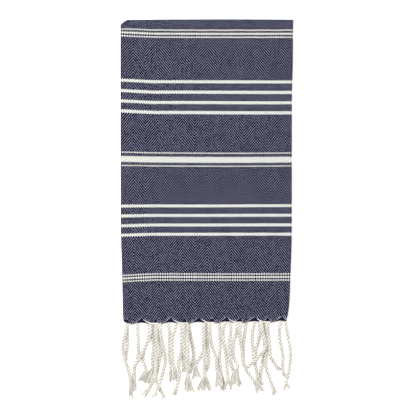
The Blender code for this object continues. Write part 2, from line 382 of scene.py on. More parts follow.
@dataclass
class Wiring:
    """Adds nodes to one node tree and links their sockets."""

    tree: bpy.types.NodeTree

    def add(self, kind: str, inputs: dict[int | str, Any] | None = None,
            **settings: Any) -> bpy.types.Node:
        """Adds a node.

        Args:
            kind: the node's type name.
            inputs: a socket or a plain value for each input, by its index or name.
            settings: the node's own properties.

        Returns:
            The node.
        """
        node = self.tree.nodes.new(kind)
        for name, value in settings.items():
            setattr(node, name, value)
        for key, value in (inputs or {}).items():
            self.feed(node.inputs[key], value)
        return node

    def feed(self, socket: bpy.types.NodeSocket, value: Any) -> None:
        """Links a socket to an input, or sets a plain value on it.

        Args:
            socket: the input.
            value: an output socket, or a plain value.
        """
        if isinstance(value, bpy.types.NodeSocket):
            self.tree.links.new(value, socket)
        else:
            socket.default_value = value

    def math(self, operation: str, *operands: Any) -> bpy.types.NodeSocket:
        """Adds a Math node and gives its result."""
        return self.add("ShaderNodeMath", dict(enumerate(operands)), operation=operation).outputs[0]

    def mix(self, share: Any, first: Any, second: Any, blend: str = "MIX") -> bpy.types.NodeSocket:
        """Mixes two colours.

        Args:
            share: how much of the second colour, 0 to 1.
            first: the first colour.
            second: the second colour.
            blend: how they are mixed.

        Returns:
            The mixed colour.
        """
        sockets = {0: share, 6: first, 7: second}
        return self.add("ShaderNodeMix", sockets, data_type="RGBA", blend_type=blend).outputs[2]

    def ramp(self, value: Any, low: float, high: float,
             to_low: float = 0.0, to_high: float = 1.0) -> bpy.types.NodeSocket:
        """Maps a value smoothly from one range to another.

        Args:
            value: the value.
            low: where the result starts to leave to_low.
            high: where it reaches to_high.
            to_low: the result at and below low.
            to_high: the result at and above high.

        Returns:
            The result.
        """
        sockets = dict(enumerate((value, low, high, to_low, to_high)))
        return self.add("ShaderNodeMapRange", sockets, interpolation_type="SMOOTHSTEP").outputs[0]

    def noise(self, place: Any, scale: float, detail: float) -> bpy.types.Node:
        """Adds a noise texture of three dimensions."""
        return self.add("ShaderNodeTexNoise", {"Vector": place, "Scale": scale, "Detail": detail})

    def attribute(self, name: str) -> bpy.types.Node:
        """Adds a node that reads one of the mesh's own attributes."""
        return self.add("ShaderNodeAttribute", attribute_name=name)

    def chance(self, inputs: dict[str, Any], dimensions: str) -> bpy.types.NodeSocket:
        """Adds a random number from 0 to 1 that differs from one whole place to the next."""
        return self.add("ShaderNodeTexWhiteNoise", inputs, noise_dimensions=dimensions).outputs[0]

    def group(self, tree: bpy.types.NodeTree, inputs: dict[str, Any]) -> Any:
        """Places a node group and gives its output sockets."""
        return self.add("ShaderNodeGroup", inputs, node_tree=tree).outputs


@dataclass
class Group:
    """A shader node group with named inputs and outputs."""

    name: str
    inputs: dict[str, str]
    outputs: dict[str, str]

    def build(self, wire: Callable[[Wiring, Any], dict[str, Any]]) -> bpy.types.NodeTree:
        """Makes the group.

        Args:
            wire: adds the group's nodes, given a helper and the input sockets, and
                gives a socket for each output by its name.

        Returns:
            The group's node tree.
        """
        tree = bpy.data.node_groups.new(self.name, "ShaderNodeTree")
        for name, kind in self.inputs.items():
            tree.interface.new_socket(name, in_out="INPUT", socket_type=kind)
        for name, kind in self.outputs.items():
            tree.interface.new_socket(name, in_out="OUTPUT", socket_type=kind)
        wiring = Wiring(tree)
        made = wire(wiring, tree.nodes.new("NodeGroupInput").outputs)
        out = tree.nodes.new("NodeGroupOutput")
        for name, socket in made.items():
            wiring.feed(out.inputs[name], socket)
        return tree


FLOAT, VECTOR = "NodeSocketFloat", "NodeSocketVector"
HALF = 0.5


@dataclass(frozen=True)
class Cotton:
    """The spun yarn that the cloth and the cords share: its slubs and its fibres."""

    slub: float = 0.35
    slub_detail: float = 1.0
    fibre: float = 4.0
    fibre_detail: float = 3.0

    def group(self) -> bpy.types.NodeTree:
        """The group: Place in millimetres and Grain in; Tone round 1 and Height out."""
        inputs, outputs = {"Place": VECTOR, "Grain": FLOAT}, {"Tone": FLOAT, "Height": FLOAT}
        return Group("cotton_yarn", inputs, outputs).build(self.wire)

    def wire(self, wiring: Wiring, given: Any) -> dict[str, Any]:
        """Wires the group.

        Args:
            wiring: helper of the group's tree.
            given: the group's input sockets.

        Returns:
            The output sockets by name.
        """
        math_ = wiring.math
        slub = wiring.noise(given["Place"], self.slub, self.slub_detail).outputs[0]
        fibre = wiring.noise(given["Place"], self.fibre, self.fibre_detail).outputs[0]
        both = math_("ADD", math_("SUBTRACT", slub, HALF), math_("SUBTRACT", fibre, HALF))
        return {"Tone": math_("MULTIPLY_ADD", both, given["Grain"], 1.0), "Height": fibre}


@dataclass(frozen=True)
class Surface:
    """How dry cotton takes the light, and how deep its relief is, in metres."""

    roughness: float
    specular: float
    relief: float
    strength: float

    def dress(self, wiring: Wiring, colour: Any, height: Any) -> None:
        """Feeds a material's own shader.

        Args:
            wiring: helper of the material's tree.
            colour: socket of its colour.
            height: socket of its relief, 1 for the whole depth.
        """
        shader = wiring.tree.nodes["Principled BSDF"].inputs
        bump = wiring.add("ShaderNodeBump", {
            "Height": height, "Distance": self.relief, "Strength": self.strength,
        })
        wiring.feed(shader["Base Color"], colour)
        wiring.feed(shader["Roughness"], self.roughness)
        wiring.feed(shader["Specular IOR Level"], self.specular)
        wiring.feed(shader["Normal"], bump.outputs[0])


def new_material(name: str) -> tuple[bpy.types.Material, Wiring]:
    """Starts a material.

    Args:
        name: its name.

    Returns:
        The material, and a helper of its tree.
    """
    material = bpy.data.materials.new(name)
    material.use_nodes = True
    return material, Wiring(material.node_tree)


# ---- the cloth's finish ----

@dataclass(frozen=True)
class Stripe:
    """A cream band: its distance from the crosswise fold and its width, in millimetres."""

    place: float
    width: float


STRIPES = (
    Stripe(14.4, 1.55), Stripe(19.2, 2.4), Stripe(23.8, 1.5),
    Stripe(83.5, 4.0), Stripe(97.5, 4.0), Stripe(111.3, 4.0), Stripe(124.7, 4.0),
    Stripe(178.8, 1.3), Stripe(187.6, 7.95), Stripe(196.0, 1.35),
    Stripe(249.2, 3.8), Stripe(262.0, 3.8), Stripe(274.8, 3.8), Stripe(287.2, 3.8),
    Stripe(340.4, 1.4), Stripe(344.4, 2.1), Stripe(348.5, 1.4),
)


@dataclass(frozen=True)
class Twill:
    """A four-end twill whose diagonals turn back and forth like a herring's bones.

    Sizes are in millimetres of flat cloth. drift is how far a yarn wanders to either side.
    dot_edge is where the dot of an end that lies on top starts and is full, and end_stand is
    how high it stands over the picks.
    """

    end_pitch: float = 0.830
    pick_pitch: float = 0.985
    repeat: int = 4
    ends_to_turn: int = 20
    drift: float = 0.35
    drift_length: float = 34.0
    drift_detail: float = 1.0
    dot_edge: tuple[float, float] = (0.35, 0.75)
    end_stand: float = 1.15

    def group(self) -> bpy.types.NodeTree:
        """Makes the group.

        Returns:
            The group: Place in; Warp, 1 where an end lies on top, Height, a chance for each
            Cell, Pick and End, and Bead, which swings once a repeat, out.
        """
        names = ("Warp", "Height", "Cell", "Pick", "End", "Bead")
        group = Group("herringbone_twill", {"Place": VECTOR}, dict.fromkeys(names, FLOAT))
        return group.build(self.wire)

    def wire(self, wiring: Wiring, given: Any) -> dict[str, Any]:
        """Wires the group.

        Args:
            wiring: helper of the group's tree.
            given: the group's input sockets.

        Returns:
            The output sockets by name.
        """
        math_ = wiring.math
        place = wiring.add("ShaderNodeSeparateXYZ", {0: given["Place"]}).outputs
        wander = wiring.noise(given["Place"], 1 / self.drift_length, self.drift_detail).outputs["Color"]
        wander = wiring.add("ShaderNodeSeparateXYZ", {0: wander}).outputs

        def yarns(axis: int, pitch: float) -> tuple[Any, Any, Any]:
            """Counts the yarns along one axis.

            Args:
                axis: 0 for the ends and 1 for the picks.
                pitch: from one yarn to the next.

            Returns:
                The count, its whole part, and the yarn's own cross profile.
            """
            shift = math_("MULTIPLY", math_("SUBTRACT", wander[axis], HALF), 2 * self.drift)
            count = math_("DIVIDE", math_("ADD", place[axis], shift), pitch)
            profile = math_("SINE", math_("MULTIPLY", math_("FRACT", count), math.pi))
            return count, math_("FLOOR", count), profile

        count, end, across_end = yarns(0, self.end_pitch)
        _, pick, across_pick = yarns(1, self.pick_pitch)
        bead = math_("SINE", math_("MULTIPLY", count, 2 * math.pi / self.repeat))
        turned = math_("PINGPONG", end, float(self.ends_to_turn))
        number = math_("ADD", math_("ADD", turned, pick), HALF)
        step = math_("FLOORED_MODULO", number, float(self.repeat))
        over = math_("COMPARE", step, HALF, HALF / 2)
        dot = math_("MULTIPLY", across_end, math_("MULTIPLY_ADD", across_pick, HALF, HALF))
        warp = math_("MULTIPLY", over, wiring.ramp(dot, *self.dot_edge))
        height = math_("MAXIMUM", math_("MULTIPLY", warp, self.end_stand), across_pick)
        cell = wiring.add("ShaderNodeCombineXYZ", {0: end, 1: pick}).outputs[0]
        return {
            "Warp": warp, "Height": height, "Bead": bead,
            "Cell": wiring.chance({"Vector": cell}, "2D"),
            "Pick": wiring.chance({"W": pick}, "1D"),
            "End": wiring.chance({"W": end}, "1D"),
        }


@dataclass(frozen=True)
class ClothFinish:
    """The woven cloth: navy weft over cream warp, with cream weft stripes.

    Distances are in millimetres. Two numbers of a chance are its span and its least value.
    The picks take painted shade, darkest in the groove between them, and painted light, brightest
    at their crown. The layers under the top one take painted shade near their ends.
    """

    cotton: bpy.types.NodeTree
    flat: tuple[float, float]
    stripes: tuple[Stripe, ...] = STRIPES
    twill: Twill = Twill()
    navy: Colour = (0.0035, 0.0035, 0.0160, 1.0)
    warp: Colour = (0.56, 0.57, 0.79, 1.0)
    cream: Colour = (0.755, 0.758, 0.712, 1.0)
    # painted shade: the dark navy that the layers under the top one take near their ends, where they show
    # in shade in the nicks
    painted_shade: Colour = (0.0105, 0.011, 0.033, 1.0)
    grain: float = 0.8
    cream_grain: float = 0.4
    stripe_edge: float = 0.12
    beading: float = 0.55
    beside: tuple[float, float] = (1.7, 2.5)
    beside_dots: float = 0.85
    gathered: tuple[float, float] = (0.5, 3.5)
    gathered_dots: float = 1.6
    dot_chance: tuple[float, float] = (1.3, 0.35)
    dashed: float = 0.85
    dash: float = 0.35
    dash_reach: tuple[float, float] = (2.6, 4.2)
    pick_chance: tuple[float, float] = (0.6, 0.7)
    # painted shade between the navy picks and painted light on their crowns, by the picks' height
    groove: float = 0.55
    crown: float = 1.25
    crown_from: float = 0.9
    # the same painted shade and painted light on the cream picks
    cream_groove: float = 0.80
    cream_crown: float = 1.03
    cream_crown_from: float = 0.8
    cream_dots: float = 0.95
    fibre_relief: float = 0.3
    surface: Surface = Surface(roughness=0.9, specular=0.08, relief=0.00022, strength=0.5)

    def stripe_group(self) -> bpy.types.NodeTree:
        """The group: Along in; Distance outside the nearest stripe, in millimetres, out."""
        return Group("stripe_distance", {"Along": FLOAT}, {"Distance": FLOAT}).build(self.wire_stripes)

    def wire_stripes(self, wiring: Wiring, given: Any) -> dict[str, Any]:
        """Wires the stripes' group.

        Args:
            wiring: helper of the group's tree.
            given: the group's input sockets.

        Returns:
            The output socket by name.
        """
        along = wiring.math("ABSOLUTE", given["Along"])
        nearest = None
        for stripe in self.stripes:
            away = wiring.math("ABSOLUTE", wiring.math("SUBTRACT", along, stripe.place))
            away = wiring.math("SUBTRACT", away, stripe.width / 2)
            nearest = away if nearest is None else wiring.math("MINIMUM", nearest, away)
        return {"Distance": nearest}

    def dots(self, wiring: Wiring, weave: Any, away: Any, to_end: Any) -> bpy.types.NodeSocket:
        """Wires how much of the pale warp shows.

        Args:
            wiring: helper of the material's tree.
            weave: output sockets of the twill.
            away: socket of the distance outside the nearest stripe.
            to_end: socket of the distance to the cloth's end.

        Returns:
            The share: a dot where an end lies on top, and some dashes along the end.
        """
        near = wiring.ramp(away, *self.beside, self.beside_dots, 1.0)
        gathered = wiring.ramp(to_end, *self.gathered, self.gathered_dots, 1.0)
        dots = wiring.math("MULTIPLY", weave["Warp"], wiring.math("MULTIPLY", near, gathered))
        chance = wiring.math("MULTIPLY_ADD", weave["Cell"], *self.dot_chance)
        dashes = wiring.math("GREATER_THAN", weave["End"], self.dashed)
        reach = wiring.ramp(to_end, *self.dash_reach, self.dash, 0.0)
        dashes = wiring.math("MULTIPLY", dashes, reach)
        return wiring.math("MAXIMUM", wiring.math("MULTIPLY", dots, chance), dashes)

    def navy_picks(self, wiring: Wiring, weave: Any, yarn: Any) -> bpy.types.NodeSocket:
        """Wires the navy weft.

        Args:
            wiring: helper of the material's tree.
            weave: output sockets of the twill.
            yarn: output sockets of the cotton.

        Returns:
            Its colour, with painted shade between the picks and painted light on their crowns.
        """
        chance = wiring.math("MULTIPLY_ADD", weave["Pick"], *self.pick_chance)
        profile = wiring.ramp(weave["Height"], 0.0, self.crown_from, self.groove, self.crown)
        tone = wiring.math("MULTIPLY", wiring.math("MULTIPLY", chance, profile), yarn["Tone"])
        return wiring.mix(1.0, self.navy, tone, "MULTIPLY")

    def cream_picks(self, wiring: Wiring, weave: Any, yarn: Any) -> bpy.types.NodeSocket:
        """Wires the cream weft of the stripes.

        Args:
            wiring: helper of the material's tree.
            weave: output sockets of the twill.
            yarn: output sockets of the cotton.

        Returns:
            Its colour, with painted shade between the picks and painted light on their crowns, and darker
            where an end lies on top.
        """
        math_ = wiring.math
        profile = wiring.ramp(weave["Height"], 0.0, self.cream_crown_from,
                              self.cream_groove, self.cream_crown)
        grain = math_("MULTIPLY_ADD", yarn["Tone"], self.cream_grain, 1 - self.cream_grain)
        dots = math_("MULTIPLY_ADD", weave["Warp"], -self.cream_dots, 1.0)
        tone = math_("MULTIPLY", math_("MULTIPLY", profile, grain), dots)
        return wiring.mix(1.0, self.cream, tone, "MULTIPLY")

    def material(self) -> bpy.types.Material:
        """Makes the material.

        Returns:
            A material that reads the UV map weave, in shares of the flat cloth, and the
            attributes to_end, in millimetres, and the share of painted shade that the layers
            under the top one take.
        """
        material, wiring = new_material("navy_weave")
        width, length = (side / MM for side in self.flat)
        place = wiring.add("ShaderNodeMapping", {
            "Vector": wiring.add("ShaderNodeUVMap", uv_map="weave").outputs[0],
            "Location": (-width / 2, -length / 2, 0.0),
            "Scale": (width, length, 1.0),
        }).outputs[0]
        weave = wiring.group(self.twill.group(), {"Place": place})
        yarn = wiring.group(self.cotton, {"Place": place, "Grain": self.grain})
        along = wiring.add("ShaderNodeSeparateXYZ", {0: place}).outputs[1]
        outside = wiring.group(self.stripe_group(), {"Along": along})["Distance"]
        away = wiring.math("MULTIPLY_ADD", weave["Bead"], self.beading, outside)
        to_end = wiring.attribute("to_end").outputs["Fac"]
        painted_shade_share = wiring.attribute("painted_shade_share").outputs["Fac"]
        dots = self.dots(wiring, weave, away, to_end)
        ground = wiring.mix(dots, self.navy_picks(wiring, weave, yarn), self.warp)
        in_stripe = wiring.ramp(away, -self.stripe_edge, self.stripe_edge, 1.0, 0.0)
        striped = wiring.mix(in_stripe, ground, self.cream_picks(wiring, weave, yarn))
        # painted shade on the layers under the top one, near their ends
        colour = wiring.mix(painted_shade_share, striped, self.painted_shade)
        height = wiring.math("MULTIPLY_ADD", yarn["Height"], self.fibre_relief, weave["Height"])
        self.surface.dress(wiring, colour, height)
        return material


@dataclass(frozen=True)
class CordFinish:
    """The undyed warp ends: cream cotton, with painted shade in the grooves between its plies."""

    cotton: bpy.types.NodeTree
    crest: Colour = (0.862, 0.833, 0.765, 1.0)
    # painted shade: the colour that the grooves between the plies take
    groove: Colour = (0.145, 0.129, 0.106, 1.0)
    grain: float = 0.75
    grain_scale: tuple[float, float, float] = (1.6, 1.6, 0.35)
    surface: Surface = Surface(roughness=0.92, specular=0.15, relief=0.00025, strength=0.8)

    def material(self) -> bpy.types.Material:
        """Makes the material.

        Returns:
            A material that reads the attributes yarn, a place along the yarn in
            millimetres, and proud, 0 for the full painted shade of a groove to 1 on a crest.
        """
        material, wiring = new_material("cream_cord")
        place = wiring.add("ShaderNodeMapping", {
            "Vector": wiring.attribute("yarn").outputs["Vector"], "Scale": self.grain_scale,
        }).outputs[0]
        yarn = wiring.group(self.cotton, {"Place": place, "Grain": self.grain})
        proud = wiring.attribute("proud").outputs["Fac"]
        # painted shade in the grooves between the plies, by how far a point stands out
        colour = wiring.mix(proud, self.groove, self.crest)
        colour = wiring.mix(1.0, colour, yarn["Tone"], "MULTIPLY")
        self.surface.dress(wiring, colour, yarn["Height"])
        return material


# ---- making pieces ----

def even(start: float, end: float, count: int) -> list[float]:
    """Evenly spaced numbers from start to end, in count steps."""
    return [float(value) for value in np.linspace(start, end, count + 1)]


def add_piece(name: str, mesh: bpy.types.Mesh, material: bpy.types.Material,
              sharp: float) -> bpy.types.Object:
    """Makes an object of a finished mesh.

    Args:
        name: the object's name.
        mesh: its mesh, in place.
        material: its finish.
        sharp: the angle past which an edge stays sharp.

    Returns:
        The object, linked to the scene.
    """
    mesh.materials.append(material)
    mesh.shade_smooth()
    mesh.set_sharp_from_angle(angle=sharp)
    piece = bpy.data.objects.new(name, mesh)
    bpy.context.scene.collection.objects.link(piece)
    LOG.info("%s: %d faces", name, len(mesh.polygons))
    return piece


@dataclass(frozen=True)
class Bow:
    """How far the weft bows towards the crest at the lengthwise fold, at one place along."""

    along: float
    rise: float


@dataclass
class TowelCloth:
    """The woven cloth, one slab folded twice, with its scalloped ends.

    Columns nearer to a fold or a selvage than their spacing over column_clear are left out.
    bow_reach is how far from the lengthwise fold the weft bows.
    """

    fold: Fold
    scallops: Scallops
    columns_a_scallop: int = 24
    column_clear: int = 3
    fold_columns: int = 8
    crease_rows: int = 12
    crest_row: float = 0.0015
    body_row: float = 0.0070
    strip_top: float = -0.1380
    strip_rows: int = 10
    # how far from its end a layer under the top one takes painted shade
    painted_shade_reach: float = 0.0120
    bow_reach: float = 0.0450
    bow_curve: float = 1.1
    bows: tuple[Bow, ...] = (
        Bow(0.018, 0.0019), Bow(0.083, 0.0024), Bow(0.125, 0.0023), Bow(0.188, 0.0007),
        Bow(0.249, -0.0006), Bow(0.262, -0.0010), Bow(0.287, -0.0015), Bow(0.345, -0.0023),
    )
    weft_waves: tuple[Wave, ...] = (
        Wave(0.310, 0.25, 0.8, 0.00020),
        Wave(0.170, 0.90, 2.4, 0.00014),
    )
    sharp: float = math.radians(50)

    @cached_property
    def flat(self) -> tuple[float, float]:
        """Measures the flat cloth without its fringe.

        Returns:
            Its width and its length.
        """
        ends = [ply.end for ply in self.scallops.plies]
        length = 2 * self.fold.along_for(sum(ends) / len(ends))
        return 2 * self.fold.cut_half_width, length

    def across_stations(self) -> list[float]:
        """Sets out the mesh's columns on both sides of the lengthwise fold.

        Returns:
            Their places across the flat cloth.
        """
        edge, bend = self.fold.cut_half_width, self.fold.across_bend
        clear = self.scallops.pitch / self.columns_a_scallop / self.column_clear
        stations = [-edge, edge] + even(-bend, bend, self.fold_columns)
        for side, nicks in self.scallops.nick_places.items():
            for low, high in zip(nicks, nicks[1:]):
                places = even(low, high, self.columns_a_scallop)[:-1]
                stations += [side * place for place in places if bend + clear < place < edge - clear]
        return sorted(stations)

    def along_stations(self) -> list[Callable[[float], float]]:
        """Sets out the mesh's rows from one end of the flat cloth to the other.

        Returns:
            A function for each row that gives its distance along at a place across.
        """
        fold = self.fold
        crest = fold.along_bend + fold.crest_depth
        crease = even(0.0, fold.along_bend, self.crease_rows // 2)
        bow = even(fold.along_bend, crest, round(fold.crest_depth / self.crest_row))
        strip = fold.along_for(self.strip_top)
        body = even(crest, strip, round((strip - crest) / self.body_row))
        level = crease + bow[1:] + body[1:]
        shares = even(0.0, 1.0, self.strip_rows)[1:]

        def fixed(value: float) -> Callable[[float], float]:
            """A row at one distance all the way across."""
            return lambda across: value

        def scalloped(side: int, share: float) -> Callable[[float], float]:
            """A row near a scalloped end.

            Args:
                side: which end, -1 or 1.
                share: how much of the scallops it takes up, 0 to 1.

            Returns:
                The row.
            """
            def row(across: float) -> float:
                """Distance along at one place across."""
                height = self.scallops.end_height(across, side)
                return side * (strip + share * (fold.along_for(height) - strip))
            return row

        ends = [scalloped(-1, share) for share in reversed(shares)]
        before = [fixed(-value) for value in reversed(level[1:])]
        after = [fixed(value) for value in level]
        return ends + before + after + [scalloped(1, share) for share in shares]

    def stripe_shift(self, across: float, along: float) -> float:
        """Finds how far the weft bows towards the crest beside the lengthwise fold.

        Args:
            across: distance across the flat cloth.
            along: distance along it.

        Returns:
            The distance.
        """
        beside = max(0.0, 1 - abs(across) / self.bow_reach) ** self.bow_curve
        places = [bow.along for bow in self.bows]
        rise = float(np.interp(abs(along), places, [bow.rise for bow in self.bows]))
        wander = sum(wave.at(across, along) for wave in self.weft_waves)
        return wander + math.copysign(1.0, along) * rise * beside

    def mesh(self) -> bpy.types.Mesh:
        """Makes the cloth's mesh.

        Returns:
            The folded slab, with its UV map and attributes.
        """
        fold = self.fold
        across, along = self.across_stations(), self.along_stations()
        columns, rows = len(across) - 1, len(along) - 1
        bm = bmesh.new()
        bmesh.ops.create_grid(bm, x_segments=columns, y_segments=rows, size=HALF)
        to_end = bm.verts.layers.float.new("to_end")
        painted_shade_share = bm.verts.layers.float.new("painted_shade_share")
        for vert in bm.verts:
            u = across[round((vert.co.x + HALF) * columns)]
            v = along[round((vert.co.y + HALF) * rows)](u)
            end = fold.along_for(self.scallops.end_height(u, v))
            vert.co = (u, v, -fold.layer / 2)
            vert[to_end] = (end - abs(v)) / MM
            # painted shade marks the layers under the top one, within a reach of their ends
            painted_shade = self.scallops.ply_at(u, v) is not self.scallops.plies[-1]
            vert[painted_shade_share] = float(painted_shade and end - abs(v) < self.painted_shade_reach)
        raised = bmesh.ops.extrude_face_region(bm, geom=bm.faces[:])["geom"]
        top = [item for item in raised if isinstance(item, bmesh.types.BMVert)]
        bmesh.ops.translate(bm, vec=(0.0, 0.0, fold.layer), verts=top)
        bmesh.ops.recalc_face_normals(bm, faces=bm.faces[:])
        width, length = self.flat
        weave = bm.loops.layers.uv.new("weave")
        for face in bm.faces:
            for loop in face.loops:
                u, v, _ = loop.vert.co
                v += self.stripe_shift(u, v)
                loop[weave].uv = (u / width + HALF, v / length + HALF)
        for vert in bm.verts:
            vert.co = fold.place(*vert.co)
        mesh = bpy.data.meshes.new("cloth_sheet")
        bm.to_mesh(mesh)
        bm.free()
        return mesh

    def build(self, cotton: bpy.types.NodeTree) -> bpy.types.Object:
        """Builds and dresses the cloth.

        Args:
            cotton: the yarn's node group.

        Returns:
            The cloth, riding on the towel.
        """
        finish = ClothFinish(cotton, self.flat)
        cloth = add_piece("towel_cloth", self.mesh(), finish.material(), self.sharp)
        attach(cloth, "root")
        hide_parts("cloth")
        return cloth


# ---- the fringe ----

class CordEnd(Enum):
    """How a cord ends.

    CUT is a short frayed tip, most often under a neighbour. BRUSH is one frayed tail, and
    FORK is a tail that parts in two.
    """

    CUT = "cut"
    BRUSH = "brush"
    FORK = "fork"


@dataclass(frozen=True)
class CordPlan:
    """A cord's route and end.

    ply is the layer that it grows from, counted from 1, the lowest. fray is the length of
    its untwisted end and spread is how wide that opens, in millimetres. way is its route
    as seen from above: places across from the middle line and down from the cloth's end,
    in millimetres.
    """

    ply: int
    end: CordEnd
    fray: float
    spread: float
    way: tuple[tuple[float, float], ...]
    knotted: bool = False


